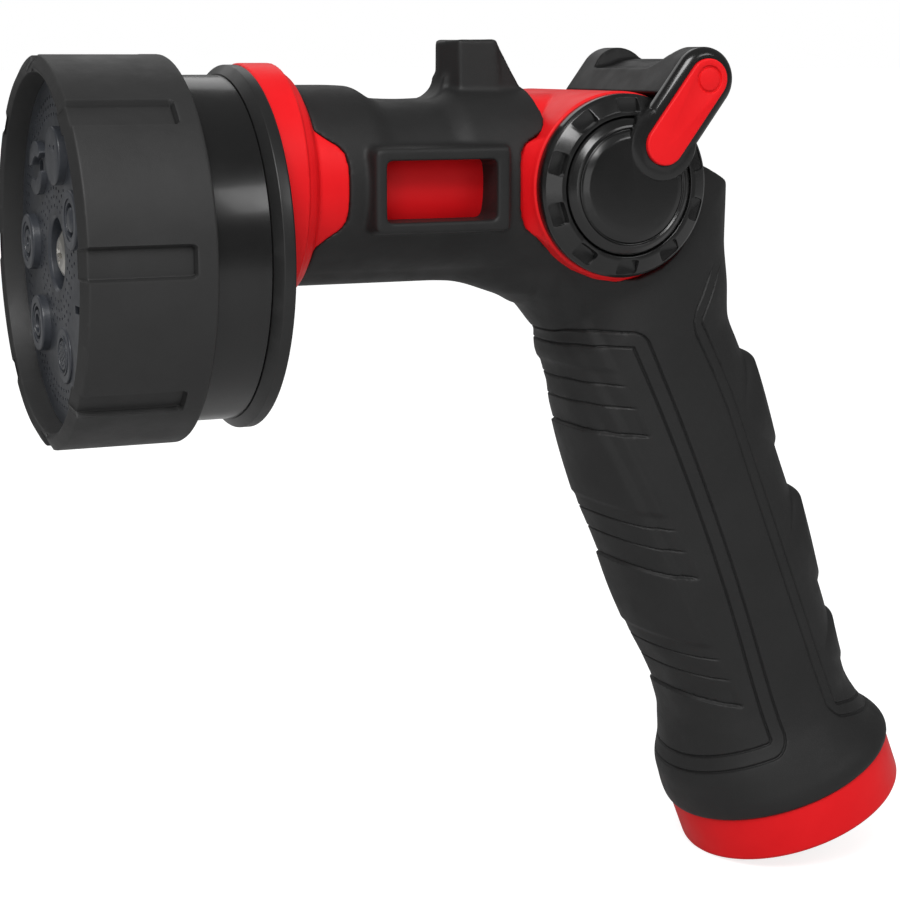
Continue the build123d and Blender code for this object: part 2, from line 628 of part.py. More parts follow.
# ---------------------------------------------------------------- pieces
def make_pieces():
    valve_core, handle_core = make_core()
    barrel_cover, grip_cover = make_cover()
    return {
        "dial_bezel": make_bezel(),
        "dial_drum": make_drum(),
        "manifold": make_manifold(),
        "tip_seals": make_tip_seals(),
        "face_plate": make_face_plate(),
        "cone_tip": make_cone_tip(),
        "mist_tip": make_tip(3, -2.4, 0, 8),
        "jet_tip": make_tip(4, BOSS_FRONT - 0.8, 1.9),
        "soaker_tip": make_tip(5, BOSS_FRONT - 0.8, 0.9),
        "dial_washer": make_dial_washer(),
        "dial_screw": make_dial_screw(),
        "front_flange": make_flange(),
        "port_seal": make_port_seal(),
        "outlet_oring": make_outlet_oring(),
        "detent_spring": make_detent_spring(),
        "core_body": valve_core,
        "handle_core": handle_core,
        "barrel_cover": barrel_cover,
        "grip_cover": grip_cover,
        "base_ring": make_base_ring(),
        "inlet_insert": make_inlet_insert(),
        "hose_washer": make_hose_washer(),
        "inlet_screen": make_inlet_screen(),
        "valve_ball": make_valve_ball(),
        "outlet_seat": make_seat((1, 0, 0)),
        "inlet_seat": make_seat(GRIP_DOWN),
        "left_gland": make_gland(1),
        "right_gland": make_gland(-1),
        "left_trunnion_oring": make_trunnion_oring(1),
        "right_trunnion_oring": make_trunnion_oring(-1),
        "left_pod_ring": make_pod_ring(1),
        "right_pod_ring": make_pod_ring(-1),
        "left_arm": make_arm(),
        "left_inlay": make_inlay(),
        "right_cap": make_hub(-1) - drive_square(),
        "thumb_pad": make_thumb_pad(),
    }


os.makedirs("parts", exist_ok=True)
for node, piece in make_pieces().items():
    export_step(piece, f"parts/{node}.step")
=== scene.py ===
"""The looks of the hose nozzle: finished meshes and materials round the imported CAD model.

Outlines are drawn in the body frame, in millimetres: x counts forward from the dial's front edge, z
up from a level 0.6 mm below the dial's axis and y to the nozzle's left. make_object() places them in
the row frame.
"""
import json
import math

import bmesh
import bpy
import numpy as np
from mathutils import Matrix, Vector


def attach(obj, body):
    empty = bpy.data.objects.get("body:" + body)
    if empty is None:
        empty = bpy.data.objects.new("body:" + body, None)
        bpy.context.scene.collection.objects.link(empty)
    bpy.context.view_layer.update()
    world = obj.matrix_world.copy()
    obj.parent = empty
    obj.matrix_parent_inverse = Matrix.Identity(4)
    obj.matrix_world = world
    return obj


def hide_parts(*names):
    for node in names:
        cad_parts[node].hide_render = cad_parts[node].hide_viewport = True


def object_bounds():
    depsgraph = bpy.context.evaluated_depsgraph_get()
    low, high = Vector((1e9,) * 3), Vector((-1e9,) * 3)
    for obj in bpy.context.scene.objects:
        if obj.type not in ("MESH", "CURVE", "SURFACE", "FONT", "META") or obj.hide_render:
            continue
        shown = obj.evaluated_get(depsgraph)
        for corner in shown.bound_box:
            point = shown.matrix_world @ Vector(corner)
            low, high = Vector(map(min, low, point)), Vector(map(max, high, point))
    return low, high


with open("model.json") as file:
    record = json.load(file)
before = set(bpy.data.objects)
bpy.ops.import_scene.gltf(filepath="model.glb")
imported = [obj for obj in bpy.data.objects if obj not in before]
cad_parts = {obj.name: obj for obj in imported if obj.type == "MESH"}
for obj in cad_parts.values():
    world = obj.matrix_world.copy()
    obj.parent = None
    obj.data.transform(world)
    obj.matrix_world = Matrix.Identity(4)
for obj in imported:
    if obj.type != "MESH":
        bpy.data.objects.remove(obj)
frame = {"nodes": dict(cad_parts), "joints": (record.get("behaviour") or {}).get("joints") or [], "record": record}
cad_low, cad_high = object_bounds()

# ---- the frame's own places
MM = 0.001
JOINTS = {joint["name"]: joint for joint in frame["joints"]}
DIAL_LIFT = 0.6                       # the dial's axis stands this far up
DIAL_AXIS = (0.0, 0.0, DIAL_LIFT)
BODY = np.array(JOINTS["dial_spin"]["pos_m"]) / MM - DIAL_AXIS
VALVE_ROW = np.array(JOINTS["lever_swing"]["pos_m"]) / MM
VALVE = VALVE_ROW - BODY              # in the body frame
INLET = -BODY                         # the row's origin, in the body frame
DOWN = np.array(frame["record"]["mounts"][0]["axis"])  # out of the inlet, along the grip
UP = -DOWN
FRONT = np.array([UP[2], 0.0, -UP[0]])                    # square to the grip, forward
BARREL_Z = 12.1

PATTERN_COUNT = 7
PATTERN_STEP = 360.0 / PATTERN_COUNT
PATTERN_PHASE = 15.5
PATTERN_R = 18.3
TURN = 2 * math.pi
X_AXIS = (1.0, 0.0, 0.0)
Y_AXIS = (0.0, 1.0, 0.0)


# ---- mesh tools
def make_object(name, points, faces, sharp=38.0):
    """A mesh object from points in the body frame, in millimetres."""
    placed = (np.asarray(points, float) + BODY) * MM
    mesh = bpy.data.meshes.new(name)
    mesh.from_pydata(placed.tolist(), [], faces)
    mesh.validate()
    piece = bpy.data.objects.new(name, mesh)
    bpy.context.scene.collection.objects.link(piece)
    tidy_mesh(piece)
    shade(piece, sharp)
    return piece


MERGE = 1e-6                          # points closer than this are one, in metres


def tidy_mesh(piece):
    """Merges doubled points, drops flattened faces and turns the normals outward."""
    work = bmesh.new()
    work.from_mesh(piece.data)
    bmesh.ops.remove_doubles(work, verts=work.verts, dist=MERGE)
    bmesh.ops.dissolve_degenerate(work, edges=work.edges, dist=MERGE / 2)
    bmesh.ops.recalc_face_normals(work, faces=work.faces)
    work.to_mesh(piece.data)
    work.free()


def shade(piece, sharp):
    """Smooth shading, with hard edges where the faces turn more than sharp degrees."""
    piece.data.shade_smooth()
    piece.data.set_sharp_from_angle(angle=math.radians(sharp))


def grid_faces(rows, columns, close_rows=False):
    """Quads over a grid of points that is stored row by row."""
    faces = []
    for i in range(rows if close_rows else rows - 1):
        a, b = i * columns, (i + 1) % rows * columns
        for j in range(columns):
            k = (j + 1) % columns
            faces.append((a + j, a + k, b + k, b + j))
    return faces


def loft(name, rows, sharp=38.0):
    """A closed solid through rows of points, capped at both ends."""
    count = len(rows[0])
    total = len(rows) * count
    faces = grid_faces(len(rows), count)
    faces += [tuple(range(count)), tuple(range(total - 1, total - count - 1, -1))]
    return make_object(name, np.concatenate([np.asarray(row, float) for row in rows]), faces, sharp)


def basis(axis):
    """Two directions square to an axis: the first is as upright as it can be."""
    along = np.array(axis, float) / np.linalg.norm(axis)
    guide = np.array([0.0, 0.0, 1.0]) if abs(along[2]) < 0.99 else np.array([1.0, 0.0, 0.0])
    second = np.cross(along, guide)
    second /= np.linalg.norm(second)
    return along, np.cross(second, along), second


def soften(outline, radius=0.4, steps=4, closed=True):
    """An outline with each corner rounded. A point may carry its own radius as a third value."""
    points = [np.array(p[:2], float) for p in outline]
    radii = [p[2] if len(p) > 2 else radius for p in outline]
    count = len(points)
    rounded = []
    for i, corner in enumerate(points):
        if not closed and i in (0, count - 1):
            rounded.append(corner)
            continue
        before, after = points[i - 1] - corner, points[(i + 1) % count] - corner
        reach_a, reach_b = np.linalg.norm(before), np.linalg.norm(after)
        before, after = before / reach_a, after / reach_b
        half = math.acos(max(-1, min(1, float(before @ after)))) / 2
        if radii[i] <= 0 or half > math.radians(87):
            rounded.append(corner)
            continue
        run = min(radii[i] / math.tan(half), 0.46 * reach_a, 0.46 * reach_b)
        for s in range(steps + 1):
            w = s / steps
            start, end = corner + before * run, corner + after * run
            rounded.append((1 - w) ** 2 * start + 2 * w * (1 - w) * corner + w * w * end)
    return [tuple(p) for p in rounded]


def lathe(name, outline, origin=DIAL_AXIS, axis=X_AXIS, segments=128, sharp=38.0):
    """A turned solid from a closed outline of (place along the axis, radius)."""
    along, first, second = basis(axis)
    ring = np.array(outline, float)
    angle = np.arange(segments) * TURN / segments
    radial = np.cos(angle)[:, None] * first + np.sin(angle)[:, None] * second
    points = (np.array(origin) + ring[:, 0][:, None, None] * along
              + ring[:, 1][:, None, None] * radial[None, :, :])
    faces = grid_faces(len(ring), segments, close_rows=True)
    return make_object(name, points.reshape(-1, 3), faces, sharp)


def prism(name, outline, low, high, grow=0.0):
    """A side-view outline of (x, z) carried from low to high y. grow widens the low end."""
    ring = np.array(outline, float)
    centre = ring.mean(axis=0)
    wide = centre + (ring - centre) * (1 + grow)
    return loft(name, [[(x, low, z) for x, z in wide], [(x, high, z) for x, z in ring]])


def rod(name, start, end, radius, segments=24):
    """A closed cylinder between two points of the body frame."""
    along = np.array(end, float) - np.array(start, float)
    length = np.linalg.norm(along)
    return lathe(name, [(0, 0), (0, radius), (length, radius), (length, 0)], start, along, segments)


def bake(piece):
    """Applies the piece's modifiers to its mesh."""
    ready = piece.evaluated_get(bpy.context.evaluated_depsgraph_get())
    mesh = bpy.data.meshes.new_from_object(ready)
    old = piece.data
    piece.modifiers.clear()
    piece.data = mesh
    bpy.data.meshes.remove(old)


def join(name, pieces):
    """One object from several, with their meshes side by side."""
    work = bmesh.new()
    for piece in pieces:
        work.from_mesh(piece.data)
        discard(piece)
    mesh = bpy.data.meshes.new(name)
    work.to_mesh(mesh)
    work.free()
    joined = bpy.data.objects.new(name, mesh)
    bpy.context.scene.collection.objects.link(joined)
    return joined


def discard(piece):
    """Removes a piece that another has taken up."""
    mesh = piece.data
    bpy.data.objects.remove(piece)
    bpy.data.meshes.remove(mesh)


def boolean(piece, tool, operation="DIFFERENCE", solver="EXACT", sharp=38.0):
    """Cuts, joins or crosses a piece with a tool, which is used up."""
    step = piece.modifiers.new("cut", "BOOLEAN")
    step.operation = operation
    step.solver = solver
    step.object = tool
    step.use_self = solver == "EXACT"
    bake(piece)
    discard(tool)
    shade(piece, sharp)


def bevel(piece, width, segments=3, angle=35.0, sharp=60.0):
    """Rounds the edges that turn more than angle degrees."""
    step = piece.modifiers.new("round", "BEVEL")
    step.width = width * MM
    step.segments = segments
    step.limit_method = "ANGLE"
    step.angle_limit = math.radians(angle)
    step.use_clamp_overlap = True
    bake(piece)
    shade(piece, sharp)


def voxels(piece, size, smoothing):
    """Fuses overlapping closed shells into one skin and rounds its edges."""
    step = piece.modifiers.new("fuse", "REMESH")
    step.mode = "VOXEL"
    step.voxel_size = size * MM
    bake(piece)
    if smoothing:
        step = piece.modifiers.new("soften", "SMOOTH")
        step.factor = 0.5
        step.iterations = smoothing
        bake(piece)
    piece.data.shade_smooth()


def read_points(piece):
    """A piece's points and normals, as arrays in the body frame."""
    count = len(piece.data.vertices)
    places = np.empty(count * 3)
    normals = np.empty(count * 3)
    piece.data.vertices.foreach_get("co", places)
    piece.data.vertices.foreach_get("normal", normals)
    return places.reshape(-1, 3) / MM - BODY, normals.reshape(-1, 3)


def write_points(piece, points):
    """Puts points of the body frame back on a piece."""
    piece.data.vertices.foreach_set("co", ((points + BODY) * MM).reshape(-1))
    piece.data.update()


def finish_piece(piece, body, slot, *nodes, look=None):
    """Gives a piece its body, slot and look, and hides the CAD nodes that it stands for."""
    piece.data.materials.clear()
    piece.data.materials.append(MATERIALS[look or slot])
    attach(piece, body)
    if nodes:
        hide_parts(*nodes)


def step_up(value, low, high):
    """0 below low, 1 above high and a smooth rise between."""
    w = np.clip((value - low) / (high - low), 0, 1)
    return w * w * (3 - 2 * w)


# ---- materials
def shader(name, roughness, **settings):
    """A Principled material with its constants set on the shader itself."""
    material = bpy.data.materials.new(name)
    material.use_nodes = True
    surface = material.node_tree.nodes["Principled BSDF"]
    surface.inputs["Roughness"].default_value = roughness
    for socket, value in settings.items():
        surface.inputs[socket.replace("_", " ")].default_value = value
    return material, material.node_tree, surface


def noise(tree, scale, detail=4.0):
    """A noise in the piece's own space."""
    place = tree.nodes.new("ShaderNodeTexCoord")
    texture = tree.nodes.new("ShaderNodeTexNoise")
    texture.inputs["Scale"].default_value = scale
    texture.inputs["Detail"].default_value = detail
    texture.inputs["Roughness"].default_value = 0.55
    tree.links.new(place.outputs["Object"], texture.inputs["Vector"])
    return texture.outputs["Fac"]


def ramp(tree, factor, stops):
    """A colour ramp: stops are (place, colour)."""
    node = tree.nodes.new("ShaderNodeValToRGB")
    while len(node.color_ramp.elements) < len(stops):
        node.color_ramp.elements.new(0.5)
    for element, (place, colour) in zip(node.color_ramp.elements, stops):
        element.position = place
        element.color = (*colour, 1.0)
    tree.links.new(factor, node.inputs["Fac"])
    return node.outputs["Color"]


def grey(value):
    """A neutral colour."""
    return (value, value, value)


def vary_roughness(tree, surface, low, high, scale):
    """Gloss that changes a little over the surface."""
    fac = noise(tree, scale, 3.0)
    tree.links.new(ramp(tree, fac, [(0.35, grey(low)), (0.65, grey(high))]), surface.inputs["Roughness"])


def grain(tree, surface, scale, strength, distance, broad_scale):
    """Bump from two noises: a fine grain and a broad unevenness."""
    bump = tree.nodes.new("ShaderNodeBump")
    bump.inputs["Strength"].default_value = strength
    bump.inputs["Distance"].default_value = distance
    tree.links.new(noise(tree, scale, 2.0), bump.inputs["Height"])
    broad = tree.nodes.new("ShaderNodeBump")
    broad.inputs["Strength"].default_value = strength * 0.5
    broad.inputs["Distance"].default_value = distance * 6
    tree.links.new(noise(tree, broad_scale, 2.0), broad.inputs["Height"])
    tree.links.new(broad.outputs["Normal"], bump.inputs["Normal"])
    tree.links.new(bump.outputs["Normal"], surface.inputs["Normal"])


def mix_by_shape(tree, colour, other, stops):
    """Mixes another colour in by how convex the surface is: below 0.5 is hollow."""
    shape = tree.nodes.new("ShaderNodeNewGeometry")
    mix = tree.nodes.new("ShaderNodeMix")
    mix.data_type = "RGBA"
    tree.links.new(ramp(tree, shape.outputs["Pointiness"], stops), mix.inputs["Factor"])
    tree.links.new(colour, mix.inputs["A"])
    mix.inputs["B"].default_value = (*other, 1.0)
    return mix.outputs["Result"]


def moulded(name, dark, light, roughness, grain_scale, grain_strength, edge_highlight=None, edge_highlight_strength=0.3, groove=None,
            **settings):
    """A mottled colour, uneven gloss, a fine grain, painted shade in the grooves and painted highlights on the
    convex edges.
    """
    material, tree, surface = shader(name, sum(roughness) / 2, **settings)
    colour = ramp(tree, noise(tree, 90.0), [(0.3, dark), (0.7, light)])
    # Painted shade: the hollows and grooves get a darker colour, by how hollow the surface is.
    if groove:
        colour = mix_by_shape(tree, colour, groove, [(0.42, grey(1.0)), (0.485, grey(0.0))])
    # Painted highlight: the convex edges get a lighter colour, by how convex the surface is.
    if edge_highlight:
        colour = mix_by_shape(tree, colour, edge_highlight, [(0.50, grey(0.0)), (0.60, grey(edge_highlight_strength))])
    tree.links.new(colour, surface.inputs["Base Color"])
    vary_roughness(tree, surface, *roughness, 160.0)
    grain(tree, surface, grain_scale, grain_strength, 0.00012, 240.0)
    return name, material


def make_materials():
    """Every material by its name. The flange has the duller satin_black."""
    return dict([
        # The groove colours are painted shade in the hollows; the lighter colours after the grain settings are
        # painted highlights on the convex edges.
        moulded("grip_rubber", grey(0.0150), grey(0.0175), (0.48, 0.58), 5200.0, 0.22,
            groove=grey(0.002), Specular_IOR_Level=0.35),
        moulded("bezel_rubber", grey(0.023), grey(0.027), (0.44, 0.54), 6000.0, 0.22, grey(0.05), 0.3,
            groove=grey(0.004), Specular_IOR_Level=0.35),
        moulded("plate_plastic", (0.027, 0.030, 0.037), (0.034, 0.038, 0.046), (0.30, 0.42), 4200.0, 0.16,
            (0.07, 0.075, 0.085), 0.5, groove=grey(0.004)),
        moulded("pad_black", grey(0.008), grey(0.010), (0.40, 0.50), 4200.0, 0.14, Specular_IOR_Level=0.25),
        moulded("gloss_black", grey(0.0055), grey(0.0070), (0.20, 0.26), 900.0, 0.03, grey(0.02), 0.3,
            groove=grey(0.001), Coat_Weight=0.25, Coat_Roughness=0.10),
        moulded("satin_black", grey(0.010), grey(0.013), (0.32, 0.40), 2400.0, 0.06, grey(0.03), 0.3),
        moulded("core_red", (0.78, 0.008, 0.012), (0.84, 0.011, 0.015), (0.36, 0.46), 2600.0, 0.06,
            (0.86, 0.03, 0.03), 0.3, groove=(0.22, 0.002, 0.003), Specular_IOR_Level=0.15),
        moulded("seal_rubber", grey(0.012), grey(0.018), (0.45, 0.60), 3000.0, 0.12),
        moulded("washer_rubber", grey(0.020), grey(0.030), (0.50, 0.65), 3000.0, 0.15),
        moulded("white_plastic", (0.66, 0.65, 0.62), (0.74, 0.73, 0.70), (0.34, 0.46), 2200.0, 0.08),
        moulded("steel", (0.52, 0.51, 0.48), (0.66, 0.64, 0.60), (0.22, 0.36), 1800.0, 0.06, Metallic=1.0),
        moulded("brass", (0.62, 0.43, 0.17), (0.78, 0.58, 0.27), (0.22, 0.36), 1800.0, 0.06, Metallic=1.0),
    ])


MATERIALS = make_materials()


def paint_cad_nodes():
    """Every CAD node that stays visible gets the finished material of its slot."""
    for row in frame["record"]["subparts"]:
        piece = frame["nodes"][row["node"]]
        piece.data.materials.clear()
        piece.data.materials.append(MATERIALS[row["material_slot"]])
        shade(piece, 32.0)


# ---- places on the dial
def around(angle, radius):
    """Offsets (y, z) from the dial's axis at an angle from its top, towards +Y."""
    turn = math.radians(angle)
    return radius * math.sin(turn), radius * math.cos(turn)


def pattern(k):
    """The (y, z) of a pattern's centre."""
    y, z = around(PATTERN_PHASE + k * PATTERN_STEP, PATTERN_R)
    return y, z + DIAL_LIFT


# ---- dial bezel
BEZEL_R = 35.28
BEZEL_REAR = -22.4
DRUM_R = 31.6
GROOVE_COUNT = 8
GROOVE_PHASE = -1.7
GROOVE_END = -18.7
GROOVE_HALF = 2.95
GROOVE_CORNER = 1.0
GROOVE_DEEP = 1.2
GROOVE_WALL = 0.45                    # how far its wall slopes in


def make_bezel():
    """The soft ring: a dense turned skin with the eight finger grooves pressed into it."""
    outline = soften([
        (BEZEL_REAR, DRUM_R), (BEZEL_REAR, BEZEL_R, 0.7), (-16, BEZEL_R, 0), (-8, BEZEL_R, 0),
        (0, BEZEL_R, 0.5), (1.2, 33.1, 0.45), (0.5, 32.2, 0.5), (-4.4, DRUM_R, 0.0)])
    ring = []
    for a, b in zip(outline, outline[1:] + outline[:1]):
        length = math.dist(a, b)
        fine = 0.22 if min(a[1], b[1]) > 32.3 else 4.0
        count = max(1, round(length / fine))
        ring += [(a[0] + (b[0] - a[0]) * s / count, a[1] + (b[1] - a[1]) * s / count) for s in range(count)]
    ring = np.array(ring)
    segments = 1152
    angle = np.arange(segments) * TURN / segments
    spacing = TURN / GROOVE_COUNT
    offset = (angle - math.radians(GROOVE_PHASE) + spacing / 2) % spacing - spacing / 2
    from_side = (GROOVE_HALF - np.abs(offset) * BEZEL_R)[None, :]
    from_end = (ring[:, 0] - GROOVE_END)[:, None]
    inside = GROOVE_CORNER - np.hypot(np.clip(GROOVE_CORNER - from_side, 0, None),
                                      np.clip(GROOVE_CORNER - from_end, 0, None))
    dent = GROOVE_DEEP * step_up(inside, 0.0, GROOVE_WALL)
    outside = step_up(ring[:, 1], 32.3, 33.4)[:, None]
    radius = ring[:, 1][:, None] - dent * outside
    points = np.stack([np.broadcast_to(ring[:, 0][:, None], radius.shape), radius * np.sin(angle),
                       radius * np.cos(angle) + DIAL_LIFT], -1)
    piece = make_object("bezel_skin", points.reshape(-1, 3), grid_faces(len(ring), segments, True), 35)
    finish_piece(piece, "dial", "bezel_rubber", "dial_bezel")


# ---- face plate and tips
PLATE_BACK = -8.0
PLATE_EDGE = -3.3
PLATE_CROWN = -2.5
BOSS_FRONT = -1.1
BOSS_R = 5.2
TIP_R = 3.7
WELL_R = 6.45
WELL_FLOOR = -6.4


def plate_height(radius):
    """The plate's crown, lower towards its rim."""
    return PLATE_CROWN + (PLATE_EDGE - PLATE_CROWN) * (radius / DRUM_R) ** 2


def boss(name, k, front):
    """A round raised pattern."""
    y, z = pattern(k)
    outline = soften([(PLATE_BACK, 0), (PLATE_BACK, BOSS_R, 0), (front, BOSS_R, 0.45), (front, 0)], 0)
    return lathe(name, outline, (0, y, z), X_AXIS, 96)


def hole_grid(places, radius, low=PLATE_BACK - 1, segments=12):
    """Cutters for a set of small holes at (y, z) places."""
    return [rod("hole", (low, y, z), (3, y, z), radius, segments) for y, z in places]


def ring_places(centre, radius, count, phase=0.0):
    """Even (y, z) places round a circle."""
    return [(centre[0] + radius * math.sin(phase + k * TURN / count),
             centre[1] + radius * math.cos(phase + k * TURN / count)) for k in range(count)]


def rain_dots():
    """The field of small dots between the raised patterns and round the middle."""
    places = []
    for radius, count in ((8.6, 24), (10.2, 30), (11.8, 36), (13.4, 40), (24.8, 80), (26.4, 86), (28.0, 92)):
        for y, z in ring_places((0, DIAL_LIFT), radius, count, radius):
            clear = min(math.dist((y, z), pattern(k)) for k in range(PATTERN_COUNT))
            if clear > BOSS_R + 0.9:
                places.append((y, z))
    return places


def crescent(name, flip):
    """One raised crescent of the fan pattern, bulging away from the other."""
    y, z = pattern(6)
    outline = []
    for turn in np.radians(np.linspace(-78, 78, 25)):
        outline.append((4.9 * math.sin(turn), 0.75 + 4.1 * math.cos(turn)))
    for turn in np.radians(np.linspace(62, -62, 25)):
        outline.append((2.9 * math.sin(turn), 0.55 + 1.5 * math.cos(turn)))
    lean = math.radians(PATTERN_PHASE - PATTERN_STEP + 20)
    bulge = -1 if flip else 1
    rows = [[(front, y + u * math.cos(lean) + bulge * v * math.sin(lean),
              z - u * math.sin(lean) + bulge * v * math.cos(lean)) for u, v in outline]
            for front in (PLATE_BACK, BOSS_FRONT - 0.4)]
    piece = loft(name, rows)
    bevel(piece, 0.35, 3, 50)
    return piece


def make_face_plate():
    """The crowned plate with its screw well, rain dots, sockets, slot and fan outlet."""
    rings = [(PLATE_BACK, 0), (PLATE_BACK, DRUM_R - 0.02), (plate_height(DRUM_R), DRUM_R - 0.02)]
    rings += [(plate_height(r), r) for r in np.linspace(31.0, WELL_R + 0.5, 16)]
    rings += soften([(plate_height(WELL_R), WELL_R + 0.5), (plate_height(WELL_R) - 0.5, WELL_R, 0.4),
                     (WELL_FLOOR, WELL_R), (WELL_FLOOR, 3.1)], 0.3, 4, False)
    rings += [(PLATE_BACK, 3.1)]
    plate = lathe("plate_skin", rings[1:], DIAL_AXIS, X_AXIS, 192, 30)
    pits = hole_grid(rain_dots(), 0.34, -5.2, 10)
    sockets = [rod("socket", (PLATE_BACK - 1, *pattern(k)), (3, *pattern(k)), TIP_R, 64)
               for k in (1, 3, 4, 5)]
    y, z = pattern(2)
    slot = prism("slot", [(-9, z - 0.7), (3, z - 0.7), (3, z + 0.7), (-9, z + 0.7)], y - 3.2, y + 3.2)
    fan = rod("fan", (PLATE_BACK - 1, *pattern(6)), (3, *pattern(6)), 1.6, 32)
    boolean(plate, join("pits", pits + sockets + [slot, fan]))
    finish_piece(plate, "dial", "plate_plastic", "face_plate")
    make_bosses()


def make_bosses():
    """The raised patterns that are part of the plate."""
    low_boss = plate_height(PATTERN_R) + 0.35
    for k in (0, 1, 3, 4, 5):
        piece = boss(f"pattern_boss_{k}", k, low_boss if k == 3 else BOSS_FRONT)
        y, z = pattern(k)
        if k == 0:
            tools = hole_grid([(y - 0.8, z + 1.5), (y + 2.1, z + 1.5)], 0.5)
        else:
            tools = [rod("socket", (PLATE_BACK - 1, y, z), (3, y, z), TIP_R, 96)]
        boolean(piece, join("tools", tools))
        finish_piece(piece, "dial", "plate_plastic")
    for flip in (False, True):
        piece = crescent(f"fan_crescent_{int(flip)}", flip)
        finish_piece(piece, "dial", "plate_plastic")


def tip(name, k, rings, node, holes=()):
    """An insert in one pattern's socket, turned from (front, radius) points after its rim."""
    y, z = pattern(k)
    outline = soften([(PLATE_BACK, 0, 0), (PLATE_BACK, TIP_R - 0.03, 0)] + rings, 0.14, 3)
    piece = lathe(name, outline, (0, y, z), X_AXIS, 96, 30)
    if holes:
        boolean(piece, join("holes", hole_grid(holes, 0.32)))
    finish_piece(piece, "dial", "plate_plastic", node)


def make_tips():
    """The four pressed-in inserts: cone, jet, soaker and mist."""
    rim = BOSS_FRONT - 0.15
    well = BOSS_FRONT - 1.6
    tip("cone_pin", 1, [(rim, TIP_R - 0.03), (rim, 3.0), (well, 2.9), (well, 2.3, 0.1), (rim - 0.1, 2.2, 0.5),
                        (rim + 0.25, 1.1, 0.8), (rim + 0.3, 0, 0)], "cone_tip")
    tip("jet_nozzle", 4, [(rim, TIP_R - 0.03), (rim, 3.1), (rim - 0.7, 3.0), (rim - 0.7, 2.5), (rim, 2.4),
                          (rim, 1.75), (PLATE_BACK + 1, 1.5, 0), (PLATE_BACK + 1, 0, 0)], "jet_tip")
    tip("soaker_nozzle", 5, [(rim, TIP_R - 0.03), (rim, 3.0), (rim - 0.7, 2.9), (rim - 0.7, 2.3), (rim, 2.2),
                             (rim, 0.95), (PLATE_BACK + 1, 0.8, 0), (PLATE_BACK + 1, 0, 0)], "soaker_tip")
    flush = plate_height(PATTERN_R) + 0.55
    centre = pattern(3)
    dots = [centre] + ring_places(centre, 1.0, 6) + ring_places(centre, 2.0, 12)
    tip("mist_disc", 3, [(flush, TIP_R - 0.03), (flush, 3.2), (flush - 0.5, 3.1), (flush - 0.5, 2.7),
                         (flush - 0.05, 2.6), (flush - 0.05, 0, 0)], "mist_tip", dots)


# ---- dial screw, drum and flange
def make_screw():
    """A pan-head shoulder screw with a cross recess."""
    outline = soften([
        (-46, 0, 0), (-46, 1.8, 0), (-45.2, 2.4, 0), (-33.1, 2.4, 0), (-33.1, 3.0, 0), (-6.4, 3.0, 0),
        (-6.4, 4.45, 0.15), (-4.0, 4.45, 1.0), (-3.1, 2.6, 1.2), (-3.05, 0, 0)])
    piece = lathe("screw_skin", outline, DIAL_AXIS, X_AXIS, 96, 30)
    for turn in (12.0, 102.0):
        y, z = around(turn, 2.5)
        across = np.array([*around(turn + 90, 0.62)])
        corners = [(y + across[0], z + across[1]), (y - across[0], z - across[1]),
                   (-y - across[0], -z - across[1]), (-y + across[0], -z + across[1])]
        mouth = [(-2.2, a, b + DIAL_LIFT) for a, b in corners]
        bottom = [(-4.8, a * 0.35, b * 0.35 + DIAL_LIFT) for a, b in corners]
        boolean(piece, loft("recess", [mouth, bottom]), sharp=30)
    finish_piece(piece, "body", "steel", "dial_screw")


def make_flange():
    """The gloss disc behind the dial, with its port and seal pocket."""
    outline = soften([
        (-36.7, 0, 0), (-36.7, 32.5, 0), (-36.7, 33.1, 0.2), (-36.4, 33.4, 0.3), (-34.5, 33.4, 0.3),
        (-33.05, 31.75, 0.15), (-33.0, 0, 0)])
    piece = lathe("flange_skin", outline, DIAL_AXIS, X_AXIS, 192, 30)
    y, z = pattern(0)
    tools = [rod("port", (-39, y, z), (-31, y, z), 3.0, 48),
             rod("pocket", (-34.9, y, z), (-31, y, z), 4.8, 48),
             rod("thread", (-39, 0, DIAL_LIFT), (-31, 0, DIAL_LIFT), 2.4, 32)]
    for tool in tools:
        boolean(piece, tool, sharp=30)
    finish_piece(piece, "body", "gloss_black", "front_flange", look="satin_black")


def make_drum():
    """The gloss cup inside the bezel, with a port for each pattern in its back wall."""
    outline = soften([
        (-32.95, 3.06, 0), (-32.95, DRUM_R, 0.2), (BEZEL_REAR, DRUM_R - 0.01, 0),
        (PLATE_BACK, DRUM_R - 0.01, 0), (PLATE_BACK, 28.1, 0), (-29.3, 28.1, 0.5), (-29.3, 6, 0.5),
        (PLATE_BACK, 6, 0), (PLATE_BACK, 3.06, 0)])
    piece = lathe("drum_skin", outline, DIAL_AXIS, X_AXIS, 192, 30)
    ports = [rod("port", (-34, *pattern(k)), (-28, *pattern(k)), 3.0, 32) for k in range(PATTERN_COUNT)]
    boolean(piece, join("ports", ports), sharp=30)
    finish_piece(piece, "dial", "gloss_black", "dial_drum")


# ---- red core
COLLAR_R = 22.2
CORE_R = 13.6
NECK_R = 16.95
POD_R = 17.6
POD_HALF = 20.0
TONGUE = [(-45.5, 29), (-46.2, 27.5), (-45.9, 24.4), (-46.4, 22.4), (-48.4, 20.9), (-50.6, 19.6),
          (-51.8, 18.2), (-52.3, 15.6), (-52.3, 9.0), (-52.0, 6.2), (-51.1, 4.7), (-48.7, 3.0),
          (-46.6, 1.2), (-45.4, -1.6), (-43.0, -2), (-43.0, 29)]
FLARE = [(8, 0), (8, 20.6), (14.6, 20.6), (15.9, 19.7), (17.2, 18.7), (18.6, 17.9), (19.7, 17.5), (19.7, 0)]
FLARE_KEEP = [(-80, -12), (-80, 16), (-90, 20.5), (-98, 20.5), (-112, 2), (-132, 2), (-132, -12)]


